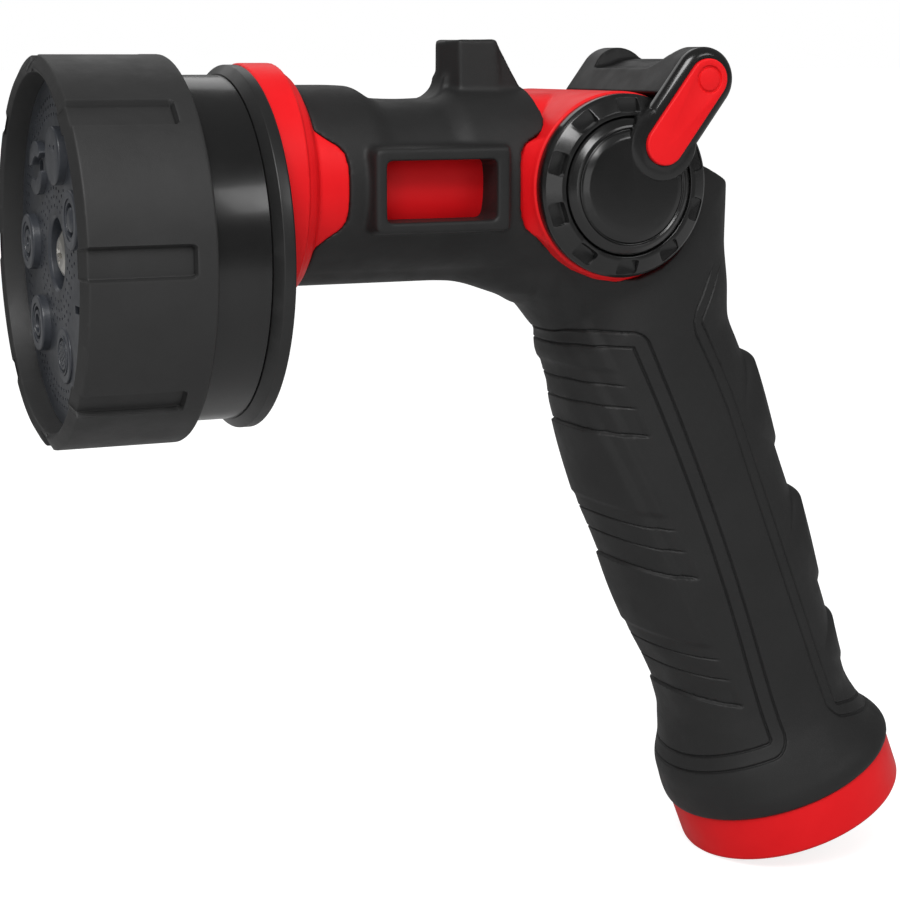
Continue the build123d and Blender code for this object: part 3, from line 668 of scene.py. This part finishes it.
def make_core():
    """The red core: its outer form fused and softened, then bored out for the waterways."""
    collar = lathe("collar", [
        (-36.75, 0), (-36.75, COLLAR_R), (-43.1, COLLAR_R), (-43.4, 21.3), (-43.9, 21.2), (-45.2, 20.2),
        (-46.4, 18.1), (-47.2, CORE_R), (-60, CORE_R), (-60, 0)], (0, 0, BARREL_Z), X_AXIS, 192)
    barrel = rod("barrel", (-90, 0, BARREL_Z), (-55, 0, BARREL_Z), CORE_R, 128)
    near = rod("near", (VALVE[0] + 1, 0, VALVE[2]), (-86, 0, VALVE[2]), NECK_R, 128)
    pod = rod("pod", (VALVE[0], -POD_HALF, VALVE[2]), (VALVE[0], POD_HALF, VALVE[2]), POD_R, 192)
    flares = []
    for side in (1, -1):
        flare = lathe("flare", FLARE, VALVE, (0, side, 0), 192)
        boolean(flare, prism("keep", FLARE_KEEP, side * 7, side * 30), "INTERSECT")
        boolean(flare, prism("mouth", soften(grown(POD_OPENING, 0.3)), side * 6, side * 31), "INTERSECT")
        flares.append(flare)
    tongue = lathe("tongue", [(-53, 0), (-53, 17.4), (-52.2, 17.8), (-44, 18.2), (-44, 0)],
                   (0, 0, BARREL_Z), X_AXIS, 192)
    shape = soften(TONGUE, 0.8)
    blocks = [prism("block", shape, side * 3, side * 24) for side in (1, -1)]
    boolean(tongue, join("blocks", blocks), "INTERSECT")
    handle = lathe("handle", [(0, 0), (0, 18.99), (14, 18.99), (14, 15.2), (138, 15.2), (138, 0)],
                   INLET, UP, 128)
    core = join("core_skin", [collar, barrel, near, pod, tongue, handle] + flares)
    voxels(core, 0.32, 3)
    for tool in core_bores():
        boolean(core, tool, solver="MANIFOLD", sharp=50)
    finish_piece(core, "body", "core_red", "core_body", "handle_core")


def grown(outline, reach):
    """An outline's points, each moved away from the valve's axis."""
    moved = []
    for x, z, radius in outline:
        across, rise = x - VALVE[0], z - VALVE[2]
        longer = 1 + reach / math.hypot(across, rise)
        moved.append((VALVE[0] + across * longer, VALVE[2] + rise * longer, radius))
    return moved


def core_bores():
    """The waterways, the valve chamber and the pocket of the threaded insert."""
    inlet = lathe("inlet", [(-1, 0), (-1, 16.5), (14.6, 16.5), (14.6, 13.1), (17.6, 13.1), (17.6, 10),
                            (132, 10), (132, 0)], INLET, UP, 96)
    chamber = rod("chamber", (VALVE[0], -21, VALVE[2]), (VALVE[0], 21, VALVE[2]), 14.6, 96)
    barrel = rod("bore", (-88, 0, BARREL_Z + 2), (-36, 0, BARREL_Z + 2), 9.0, 96)
    outlet = rod("outlet", (-100, 0, VALVE[2]), (-86, 0, VALVE[2]), 8.0, 64)
    thread = rod("thread", (-47, 0, DIAL_LIFT), (-36, 0, DIAL_LIFT), 2.4, 32)
    return [inlet, chamber, barrel, outlet, thread]


# ---- grip cover
RING_TOP = 10.3


def grip_point(t, n):
    """A point of the body frame, t up the grip's axis from the inlet and n in front of it."""
    place = INLET + t * UP + n * FRONT
    return place[0], place[2]


def grip_station(t, front, rear, side, square):
    """A section square to the grip, from how far its outline shows in front of and behind the axis."""
    half = math.sqrt(((front + rear) / 2) ** 2 - (0.424 * side) ** 2)
    centre = (front - rear) / 2
    return (*grip_point(t, centre + half), *grip_point(t, centre - half), side, square)


BARREL = [                            # x, bottom, top, half-width
    (-46.4, -6.0, 30.3, 18.2), (-52.0, -6.0, 30.3, 18.2), (-57.5, -6.0, 30.1, 18.2),
    (-62.5, -6.0, 27.8, 18.2), (-68.0, -6.0, 27.6, 18.2), (-73.5, -6.0, 27.8, 18.2),
    (-78.0, -6.1, 30.0, 18.4)]
ELBOW = [                             # front x and z, rear x and z, half-width
    (-87.4, -7.6, -90.0, 30.3, 18.8), (-94.5, -10.9, -104.0, 29.5, 19.6),
    (-98.9, -15.9, -119.0, 26.6, 20.0), (-100.4, -18.2, -136.6, 15.0, 20.0),
    (-101.3, -22.6, -136.5, 2.0, 19.6)]
GRIP = [                              # up the grip, in front, behind, half-width, squareness
    (115, 19.0, 22.7, 19.0, 2.25), (110, 19.3, 21.0, 18.4, 2.25), (103, 20.3, 21.0, 18.0, 2.25),
    (96, 21.2, 21.6, 17.8, 2.25), (86, 21.8, 21.9, 17.6, 2.25), (74, 22.0, 21.9, 17.5, 2.25),
    (62, 22.2, 21.9, 17.5, 2.25), (52, 21.6, 21.8, 17.5, 2.25), (43, 21.0, 21.6, 17.6, 2.25),
    (36, 21.0, 21.2, 17.9, 2.25), (30, 21.8, 21.1, 18.5, 2.25), (25, 23.8, 21.3, 19.7, 2.1),
    (20.5, 26.2, 22.3, 21.6, 2.05), (16, 27.0, 24.2, 23.6, 2.0), (12.6, 27.2, 26.6, 24.8, 2.0),
    (11.0, 27.0, 27.0, 24.9, 2.0), (RING_TOP, 26.5, 26.5, 24.4, 2.0)]
STATIONS = [(x, bottom, x, top, side, 2.0) for x, bottom, top, side in BARREL]
STATIONS += [(*section, 2.1) for section in ELBOW]
STATIONS += [grip_station(*section) for section in GRIP]


def flow(rows, count):
    """Rows of values carried smoothly through a few stations, without overshoot."""
    rows = np.array(rows, float)
    middle = (rows[:, 0:2] + rows[:, 2:4]) / 2
    gaps = np.hypot(*np.diff(middle, axis=0).T) + 0.6 * np.hypot(*np.diff(rows[:, 2:4], axis=0).T)
    place = np.concatenate([[0], np.cumsum(gaps)])
    slope = np.diff(rows, axis=0) / gaps[:, None]
    tangent = np.zeros_like(rows)
    tangent[0], tangent[-1] = slope[0], slope[-1]
    for i in range(1, len(rows) - 1):
        a, b = slope[i - 1], slope[i]
        w1, w2 = 2 * gaps[i] + gaps[i - 1], gaps[i] + 2 * gaps[i - 1]
        same = a * b > 0
        safe_a, safe_b = np.where(same, a, 1), np.where(same, b, 1)
        tangent[i] = np.where(same, (w1 + w2) / (w1 / safe_a + w2 / safe_b), 0)
    targets = np.linspace(0, place[-1], count)
    index = np.clip(np.searchsorted(place, targets, "right") - 1, 0, len(gaps) - 1)
    h = gaps[index]
    w = (targets - place[index]) / h
    w2, w3 = w * w, w * w * w
    return ((2 * w3 - 3 * w2 + 1)[:, None] * rows[index] + ((w3 - 2 * w2 + w) * h)[:, None] * tangent[index]
            + (3 * w2 - 2 * w3)[:, None] * rows[index + 1] + ((w3 - w2) * h)[:, None] * tangent[index + 1])


def grip_form(name, section_count=300, columns=220):
    """The cover's outer form as a closed solid."""
    angle = np.arange(columns) * TURN / columns
    rows = []
    for fx, fz, rx, rz, side, square in flow(STATIONS, section_count):
        depth = math.hypot(rx - fx, rz - fz)
        up = np.array([(rx - fx) / depth, 0, (rz - fz) / depth])
        centre = np.array([(fx + rx) / 2, 0, (fz + rz) / 2])
        c, s = np.cos(angle), np.sin(angle)
        rise = np.sign(c) * np.abs(c) ** (2 / square) * depth / 2
        ring = centre + rise[:, None] * up
        ring[:, 1] = np.sign(s) * np.abs(s) ** (2 / square) * side
        rows.append(ring)
    return loft(name, rows)


POD_OPENING = [
    (-92.2, 34, 0), (-92.3, 23.6, 0.8), (-91.5, 21.8, 0.8), (-89.3, 20.6, 1), (-87.4, 19.5, 1),
    (-86.4, 18.0, 1), (-85.9, 14.9, 1), (-85.9, 9.0, 2), (-86.3, 6.3, 1), (-87.5, 3.8, 1), (-90.2, 2.1, 1),
    (-92.5, 0.0, 1.5), (-97.8, -4.2, 2), (-102.1, -6.0, 2), (-106.4, -6.7, 2), (-111.0, -6.4, 2),
    (-115.1, -4.6, 2), (-118.2, -2.0, 2), (-121.4, 2.3, 2), (-123.5, 8.4, 2), (-123.6, 14.0, 1),
    (-123.6, 34, 0)]
SHOULDER = [(-100, 70, 0), (-100, 20, 0), (-112, 13.5, 0), (-119, 15.0, 0), (-126.0, 14.8, 0.8),
            (-137.5, 9.3, 0.8), (-150, 8.0, 0), (-150, 70, 0)]
FIN_TOP = 38.7


def make_fin():
    """The stop fin: a bow-shaped block with a sloped back and a small fillet at its foot in front."""
    plan = [(-76.7, 0.9), (-78.8, 6.0), (-86.5, 7.2), (-91.6, 6.4)]
    low = plan + [(x, -y) for x, y in reversed(plan)]
    rows = []
    for z, width in ((20.0, 1.10), (29.0, 1.0), (FIN_TOP, 0.92)):
        rear = -86.2 - (FIN_TOP - z) * 0.60
        nose_drop = 0.4 if z == FIN_TOP else 0
        rows.append([(max(x, rear), y * width, z - (nose_drop if x > -77 else 0)) for x, y in low])
    fillet = [(-72.6, 24), (-72.6, 27.5), (-74.3, 27.9), (-75.6, 28.8), (-76.4, 30.1), (-76.9, 32),
              (-80, 32), (-80, 24)]
    return [loft("fin", rows), prism("fin_foot", fillet, -3.2, 3.2)]


def make_cover():
    """The rubber cover: fused form, then the pressed outlines, finger ridges and rear scales."""
    parts = [grip_form("form")] + make_fin()
    for side in (1, -1):
        rim = soften([(-56.4, 3.8, 1.6), (-56.4, 19.1, 1.6), (-82.9, 19.1, 0.6), (-82.9, 3.8, 0.6)])
        parts.append(prism("window_rim", rim, side * 13.5, side * 20.5, 0.10))
    cover = join("cover_skin", parts)
    voxels(cover, 0.42, 0)
    for side in (1, -1):
        opening = soften([(-58.5, 5.8), (-58.5, 16.9), (-80.3, 16.9), (-80.3, 5.8)], 1.1)
        boolean(cover, prism("opening", opening, side * 10.5, side * 24), solver="MANIFOLD")
    cuts = [prism("pod_cut", soften(POD_OPENING), -30, 30), prism("shoulder_cut", soften(SHOULDER), -30, 30)]
    cuts += [prism("tongue_cut", soften(TONGUE, 0.8), side * 4, side * 26) for side in (1, -1)]
    for cut in cuts:
        boolean(cover, cut, solver="MANIFOLD")
    voxels(cover, 0.36, 4)
    refine_lines(cover)
    press_details(cover)
    finish_piece(cover, "body", "grip_rubber", "grip_cover", "barrel_cover")


def corner_distance(sides, radius):
    """How far inside a region each point lies, with the region's corners rounded."""
    nearest = np.minimum.reduce(sides)
    for i in range(len(sides)):
        for j in range(i + 1, len(sides)):
            a, b = sides[i], sides[j]
            both = (a < radius) & (b < radius)
            nearest = np.where(both, np.minimum(nearest, radius - np.hypot(radius - a, radius - b)), nearest)
    return nearest


def line(distance, width, depth):
    """A pressed line of a given width along distance 0."""
    return -depth * np.clip(1 - (distance / (width / 2)) ** 2, 0, None) ** 0.7


LINE_WIDE = 0.6
LINE_DEEP = 0.4
FRONT_BAND = 3.0                      # from the front panel's outer line to its inner one
REAR_BAND = 2.4
RIDGE_GROUPS = (95.7, 63.7, 33.7)
RIDGE_DROPS = (6.4, 7.2, 6.8)
RIDGE_OFFSETS = (14.6, 11.0, 6.1, 0.0)
SCALES = ((100.6, 76.5, 2.0), (69.0, 44.5, 2.0), (40.0, 27.0, 1.1))     # top, bottom, height
SCALE_HALF = 15.5


def grip_places(points):
    """Each point's height up the grip and its place in front of the grip's axis."""
    return (points - INLET) @ UP, (points - INLET) @ FRONT


def panel_distances(points):
    """How far each point lies inside the front panel's and the rear panel's outlines."""
    t, n = grip_places(points)
    side_edge = 2.87 + 0.001005 * (t - 70) ** 2
    front_top = (116.0 + 0.43 * (n - 5.0) - t) / 1.09
    upper = corner_distance([n - side_edge, front_top], 2.0)
    front = np.minimum(upper, corner_distance([n - side_edge, t - 21.6], 4.0))
    rear_edge = -7.3 + 0.0048 * np.clip(t - 90, 0, None) ** 2 + 0.0008 * np.clip(50 - t, 0, None) ** 2
    rear_top = (116.4 + 0.9 * (-7.3 - n) - t) / 1.35
    rear_foot = (t - 22.6 - 0.5 * (n + 7.3)) / 1.12
    rear = corner_distance([rear_edge - n, rear_top, rear_foot], 3.0)
    return front, rear


def ridge_places(points):
    """For each ridge group, each point's height above the group's lowest line."""
    t, n = grip_places(points)
    lift = np.clip((n ** 2 - 110) / (21.0 ** 2 - 110), 0, 1.3)
    return [t - base - drop * lift for base, drop in zip(RIDGE_GROUPS, RIDGE_DROPS)]


def refine_lines(cover):
    """Splits the faces along the pressed lines, so that the lines can be narrow."""
    points, _ = read_points(cover)
    t, n = grip_places(points)
    front, rear = panel_distances(points)
    outlines = (front, front - FRONT_BAND, rear, rear - REAR_BAND)
    near = np.minimum.reduce([np.abs(outline) for outline in outlines])
    ridges = [np.abs(place - mark) for place in ridge_places(points) for mark in RIDGE_OFFSETS]
    near = np.minimum(near, np.where(n > 8.5, np.minimum.reduce(ridges), 9.0))
    chosen = (near < 0.62) & (t > 12) & (points[:, 2] < -4)
    work = bmesh.new()
    work.from_mesh(cover.data)
    edges = [edge for edge in work.edges if chosen[edge.verts[0].index] and chosen[edge.verts[1].index]]
    bmesh.ops.subdivide_edges(work, edges=edges, cuts=2, use_grid_fill=True)
    work.to_mesh(cover.data)
    work.free()
    cover.data.shade_smooth()


def press_details(cover):
    """Moves the skin along its normals for the panel lines, the ridges and the scales."""
    points, normals = read_points(cover)
    t, n = grip_places(points)
    on_grip = step_up(t, 12.0, 15.0) * (1 - step_up(points[:, 2], -8.0, -4.0))
    move = np.zeros(len(points))
    front_panel, rear_panel = panel_distances(points)
    for distance in (front_panel, front_panel - FRONT_BAND, rear_panel, rear_panel - REAR_BAND):
        move += line(distance, LINE_WIDE, LINE_DEEP)
    for place in ridge_places(points):
        inside = step_up(n, 9.6 + 0.10 * place, 11.4 + 0.10 * place)
        top, first, second, last = RIDGE_OFFSETS
        hollow = step_up(place, last - 0.25, last + 0.35) * (1 - step_up(place, top - 1.2, top + 0.5))
        move -= 0.45 * hollow * inside
        for low, high in ((last, second), (second, first), (first, top)):
            rise = np.clip((high - place) / (high - low), 0, 1) * (place > low) * (place < high)
            move += 0.34 * (1 - rise) * inside * (high != top) * (place > low + 0.2)
        for mark in (first, second, last):
            deep = 0.45 if mark == last else 0.3
            move += line(place - mark, 0.7 if mark == last else 0.55, deep) * inside
    behind = step_up(-n, 9.9, 13.0) * on_grip
    for top, bottom, high in SCALES:
        w = np.clip((top - t) / (top - bottom), 0, 1)
        arch = np.clip(np.sin(math.pi * np.clip(w * 0.94 + 0.06, 0, 1)), 0.02, 1)
        wide = np.clip(1 - (points[:, 1] / (SCALE_HALF * np.sqrt(arch))) ** 2, 0, None)
        swell = step_up(w, 0.0, 0.13) * (1 - 0.75 * w ** 1.3) * (1 - step_up(w, 0.93, 1.0))
        move += high * swell * np.minimum(1, 2.2 * wide) * behind
    points += normals * (move * on_grip)[:, None]
    write_points(cover, points)


# ---- base ring and inlet
def make_base_ring():
    """The red ring at the foot."""
    outline = soften([(0, 19.0, 0.3), (0, 24.2, 1.3), (RING_TOP, 24.2, 0.3), (RING_TOP, 19.0, 0)], 0.3, 6)
    piece = lathe("base_skin", outline, INLET, UP, 192, 30)
    finish_piece(piece, "body", "core_red", "base_ring")


def make_inlet():
    """The threaded insert, with its thread as a true helix."""
    minor, major, pitch, depth, outer = 12.25, 13.65, 2.209, 14.6, 16.45
    segments, rows = 144, 110
    along, first, second = basis(UP)
    t = np.linspace(0, depth, rows)[:, None]
    angle = (np.arange(segments) * TURN / segments)[None, :]
    phase = (t / pitch - angle / TURN) % 1
    tooth = np.clip(1.35 - np.abs(phase - 0.5) * 3.4, 0, 1)
    lead_in = step_up(t, 0.0, 1.2) * (1 - step_up(t, depth - 1.6, depth - 0.4))
    radius = minor + (major - minor) * tooth * lead_in
    radial = np.cos(angle)[..., None] * first + np.sin(angle)[..., None] * second
    inner = t[..., None] * along + radius[..., None] * radial
    shell = np.array([depth, 0.0])[:, None, None] * along + outer * radial
    points = np.concatenate([inner, shell]).reshape(-1, 3) + INLET
    piece = make_object("thread_skin", points, grid_faces(rows + 2, segments, True), 40)
    finish_piece(piece, "body", "brass", "inlet_insert")


# ---- pod rings and lever
RING_OUT = 17.2
RING_IN = 12.95
HUB_R = 12.75
ARM_ANGLE = 36.6
ARM_START = 9.7
ARM_END = 24.6
ARM_INNER = 24.8
ARM_FACE = 27.2
INLAY_HALF = 3.85
INLAY_FACE = 28.0
NOTCHES = 10
NOTCH_PHASE = 53.5


def make_pod_ring(side):
    """A bevelled gloss ring with rounded notches round its slope."""
    outline = soften([
        (20.0, 8.5, 0), (20.0, RING_OUT, 0.3), (22.4, RING_OUT, 0.5), (23.0, 16.6, 0.4), (24.5, 14.0, 0.4),
        (24.5, RING_IN + 0.2, 0.25), (24.1, RING_IN, 0.2), (21.0, RING_IN, 0.2), (21.0, 8.5, 0)], 0)
    name = "left" if side > 0 else "right"
    piece = lathe(f"{name}_ring_skin", outline, VALVE, (0, side, 0), 192, 30)
    corners = soften([(-2.2, 13.7, 0.7), (2.2, 13.7, 0.7), (2.2, 16.5, 0.7), (-2.2, 16.5, 0.7)])
    tools = []
    for k in range(NOTCHES):
        turn = math.radians(NOTCH_PHASE + k * 360 / NOTCHES)
        radial = np.array([math.cos(turn), 0, math.sin(turn)])
        tangent = np.array([-math.sin(turn), 0, math.cos(turn)])
        rows = [[VALVE + tangent * u + radial * v + np.array([0, side * depth, 0]) for u, v in corners]
                for depth in (22.6, 26.0)]
        tools.append(loft("notch", rows))
    boolean(piece, join("notches", tools), sharp=30)
    bevel(piece, 0.18, 2, 40, 50)
    finish_piece(piece, "body", "gloss_black", f"{name}_pod_ring")


def arm_place(along, y, across=0.0):
    """A point of the body frame, along the arm from the valve and across it."""
    turn = math.radians(ARM_ANGLE)
    return (VALVE[0] - along * math.sin(turn) + across * math.cos(turn), y,
            VALVE[2] + along * math.cos(turn) + across * math.sin(turn))


def capsule_outline(half, start, end, steps=28):
    """(along, across) points round a bar with round ends."""
    turns = [math.pi * s / steps for s in range(steps + 1)]
    ring = [(end + half * math.sin(turn), half * math.cos(turn)) for turn in turns]
    return ring + [(start - half * math.sin(turn), -half * math.cos(turn)) for turn in turns]


def capsule_bar(name, levels, sharp=38.0, start=ARM_START, end=ARM_END):
    """A bar along the arm from a few (distance out, half-width) levels, closed at both ends."""
    rows = [[arm_place(a, out, b) for a, b in capsule_outline(half, start, end)] for out, half in levels]
    return loft(name, rows, sharp)


def round_over(low, high, half, radius, steps=5):
    """Levels for a straight wall with a rounded outer edge."""
    levels = [(low, half)]
    for s in range(steps + 1):
        turn = math.pi / 2 * s / steps
        levels.append((high - radius + radius * math.sin(turn), half - radius + radius * math.cos(turn)))
    return levels


HUB_OUTLINE = [
    (21.3, 0, 0), (21.3, HUB_R, 0.2), (24.4, HUB_R, 0.3), (24.8, 12.4, 0.4), (25.6, 11.5, 0.5),
    (25.8, 11.0, 0.2), (25.4, 10.65, 0.15), (25.8, 10.3, 0.2), (26.4, 9.2, 1.5), (26.6, 7.2, 1.5),
    (26.6, 0, 0)]
ARM_SKIN = [(ARM_INNER, 6.0), (25.5, 6.0), (26.0, 5.9), (26.5, 5.6), (26.9, 5.1), (27.1, 4.7),
            (ARM_FACE, 4.4)]
FOOT_SKIN = [(24.0, 7.0), (26.4, 6.9), (26.8, 6.6), (27.0, 6.1), (27.1, 5.4)]


def make_arm():
    """The arm with its hub disc, blended at the foot and recessed for the inlay."""
    hub = lathe("hub", soften(HUB_OUTLINE), VALVE, Y_AXIS, 192, 30)
    blend = capsule_bar("blend", FOOT_SKIN, 60, ARM_START, ARM_START + 0.4)
    bar = capsule_bar("left_arm_skin", ARM_SKIN, 50)
    recess = [(ARM_FACE - 1.0, INLAY_HALF + 0.1), (ARM_FACE + 2, INLAY_HALF + 0.1)]
    boolean(bar, capsule_bar("recess", recess))
    boolean(hub, blend, "UNION")
    boolean(hub, capsule_bar("recess", recess))
    boolean(bar, hub, "UNION", sharp=30)
    finish_piece(bar, "lever", "gloss_black", "left_arm")


def make_right_cap():
    """The hub disc on the right, without an arm."""
    cap = lathe("right_cap_skin", soften(HUB_OUTLINE), VALVE, (0, -1, 0), 192, 30)
    finish_piece(cap, "lever", "gloss_black", "right_cap")


def make_inlay():
    """The red inlay, with a ring pressed round its pin's head."""
    piece = capsule_bar("left_inlay_skin", round_over(ARM_FACE - 0.98, INLAY_FACE, INLAY_HALF, 0.35), 50)
    groove = soften([(INLAY_FACE - 0.4, 2.1), (INLAY_FACE - 0.4, 2.55), (INLAY_FACE + 1, 2.8),
                     (INLAY_FACE + 1, 1.9)], 0.1)
    boolean(piece, lathe("groove", groove, arm_place(ARM_END, 0), Y_AXIS, 96), sharp=30)
    bevel(piece, 0.1, 2, 40, 50)
    finish_piece(piece, "lever", "core_red", "left_inlay")


PAD_END = -15.4
PAD_CHEEK = -8.9                      # the thumb's hollow starts here
PAD_CLEAR = 18.15


def thumb_hollow():
    """The cutter of the hollow: deeper in front, and rising towards the arm."""
    rows = []
    for y in np.linspace(PAD_CHEEK, ARM_INNER, 48):
        rise = 4.5 * float(step_up(np.array(y), 11.0, ARM_INNER)) ** 1.5
        rise += 2.2 * float(1 - step_up(np.array(y), PAD_CHEEK, PAD_CHEEK + 0.9))
        heights = [(-109, 33.2), (-114.5, 33.2), (-117, 33.7), (-119.5, 34.6), (-122, 35.0), (-130, 35.1)]
        rows.append([(x, y, z + rise) for x, z in heights] + [(-130, y, 48), (-109, y, 48)])
    return loft("hollow", rows)


def make_thumb_pad():
    """The pad across the top: the arm's own profile, with a hollow for the thumb."""
    levels = [(PAD_END, 5.0), (PAD_END + 0.15, 5.45), (PAD_END + 0.6, 5.8), (PAD_END + 1.3, 6.0),
              (ARM_INNER + 0.2, 6.0)]
    pad = capsule_bar("pad_skin", levels, 50)
    boolean(pad, thumb_hollow())
    boolean(pad, rod("clear", (VALVE[0], -30, VALVE[2]), (VALVE[0], 30, VALVE[2]), PAD_CLEAR, 128))
    voxels(pad, 0.25, 3)
    finish_piece(pad, "lever", "pad_black", "thumb_pad")


# ---- stage, light and camera
FLOOR_SIZE = 30.0
FLOOR_GLOW = 0.80                     # only the camera sees it
SEEN_STRENGTH = 1.0                   # the white surround, as the camera sees it
DIFFUSE_STRENGTH = 0.50               # and as it lights the nozzle
GLOSSY_STRENGTH = 0.16                # and as gloss reflects it


def make_stage():
    """A pale floor that the camera sees as white, like the photograph's background."""
    floor_z = cad_low[2]
    mesh = bpy.data.meshes.new("floor")
    corners = [(-1, -1), (1, -1), (1, 1), (-1, 1)]
    mesh.from_pydata([(x * FLOOR_SIZE, y * FLOOR_SIZE, floor_z) for x, y in corners], [], [(0, 1, 2, 3)])
    floor = bpy.data.objects.new("floor", mesh)
    bpy.context.scene.collection.objects.link(floor)
    material, tree, surface = shader("floor", 0.8)
    surface.inputs["Base Color"].default_value = (0.5, 0.5, 0.5, 1)
    surface.inputs["Emission Color"].default_value = (1, 1, 1, 1)
    path = tree.nodes.new("ShaderNodeLightPath")
    glow = tree.nodes.new("ShaderNodeMath")
    glow.operation = "MULTIPLY"
    glow.inputs[1].default_value = FLOOR_GLOW
    tree.links.new(path.outputs["Is Camera Ray"], glow.inputs[0])
    tree.links.new(glow.outputs["Value"], surface.inputs["Emission Strength"])
    mesh.materials.append(material)


def softbox(name, place, target, size, power):
    """A soft rectangular lamp that faces its target."""
    light = bpy.data.lights.new(name, "AREA")
    light.shape = "RECTANGLE"
    light.size, light.size_y = size
    light.energy = power
    lamp = bpy.data.objects.new(name, light)
    lamp.location = place
    lamp.rotation_euler = (Vector(target) - Vector(place)).to_track_quat("-Z", "Y").to_euler()
    bpy.context.scene.collection.objects.link(lamp)


def make_light():
    """A white surround for the camera, a dimmer one for the light, and four soft lamps."""
    world = bpy.data.worlds.new("studio")
    world.use_nodes = True
    tree = world.node_tree
    surround = tree.nodes["Background"]
    surround.inputs["Color"].default_value = (1, 1, 1, 1)
    surround.inputs["Strength"].default_value = SEEN_STRENGTH
    for ray, strength in (("Is Diffuse Ray", DIFFUSE_STRENGTH), ("Is Glossy Ray", GLOSSY_STRENGTH)):
        surround = dim_for(tree, surround, ray, strength)
    tree.links.new(surround.outputs[0], tree.nodes["World Output"].inputs["Surface"])
    bpy.context.scene.world = world
    bpy.context.scene.view_settings.view_transform = "Standard"
    aim = (0.07, 0, 0.09)
    softbox("key", (0.45, 0.65, 0.85), aim, (0.45, 0.45), 6.5)
    softbox("fill", (0.55, 0.85, 0.10), aim, (0.6, 0.7), 1.4)
    softbox("side", (-0.35, 0.75, 0.70), aim, (0.35, 0.30), 1.2)
    softbox("rim", (0.1, -0.7, 0.6), aim, (0.8, 0.4), 0.8)


def dim_for(tree, surround, ray, strength):
    """The surround with another strength for one kind of ray."""
    other = tree.nodes.new("ShaderNodeBackground")
    other.inputs["Color"].default_value = (1, 1, 1, 1)
    other.inputs["Strength"].default_value = strength
    path = tree.nodes.new("ShaderNodeLightPath")
    mix = tree.nodes.new("ShaderNodeMixShader")
    tree.links.new(path.outputs[ray], mix.inputs["Fac"])
    tree.links.new(surround.outputs[0], mix.inputs[1])
    tree.links.new(other.outputs[0], mix.inputs[2])
    return mix


VIEW_AZIMUTH = 157.03
VIEW_ELEVATION = 10.38
VIEW_TARGET = (-79.33, 0.0, -40.73)       # what the camera looks at, in the body frame
VIEW_DISTANCE = 420.7
FOCAL = 85.48


def make_camera():
    """The camera stands at the photograph's angle and distance."""
    turn, lift = math.radians(VIEW_AZIMUTH), math.radians(VIEW_ELEVATION)
    back = Vector((math.sin(turn) * math.cos(lift), -math.cos(turn) * math.cos(lift), math.sin(lift)))
    data = bpy.data.cameras.new("camera")
    data.lens = FOCAL
    data.sensor_width = 36.0
    camera = bpy.data.objects.new("camera", data)
    target = Vector((np.array(VIEW_TARGET) + BODY) * MM)
    camera.location = target + back * VIEW_DISTANCE * MM
    camera.rotation_euler = (-back).to_track_quat("-Z", "Y").to_euler()
    bpy.context.scene.collection.objects.link(camera)
    bpy.context.scene.camera = camera


# ---- assembly
def main():
    make_camera()
    make_light()
    make_stage()
    paint_cad_nodes()
    make_bezel()
    make_face_plate()
    make_tips()
    make_screw()
    make_flange()
    make_drum()
    make_core()
    make_cover()
    make_base_ring()
    make_inlet()
    for side in (1, -1):
        make_pod_ring(side)
    make_arm()
    make_inlay()
    make_right_cap()
    make_thumb_pad()


main()
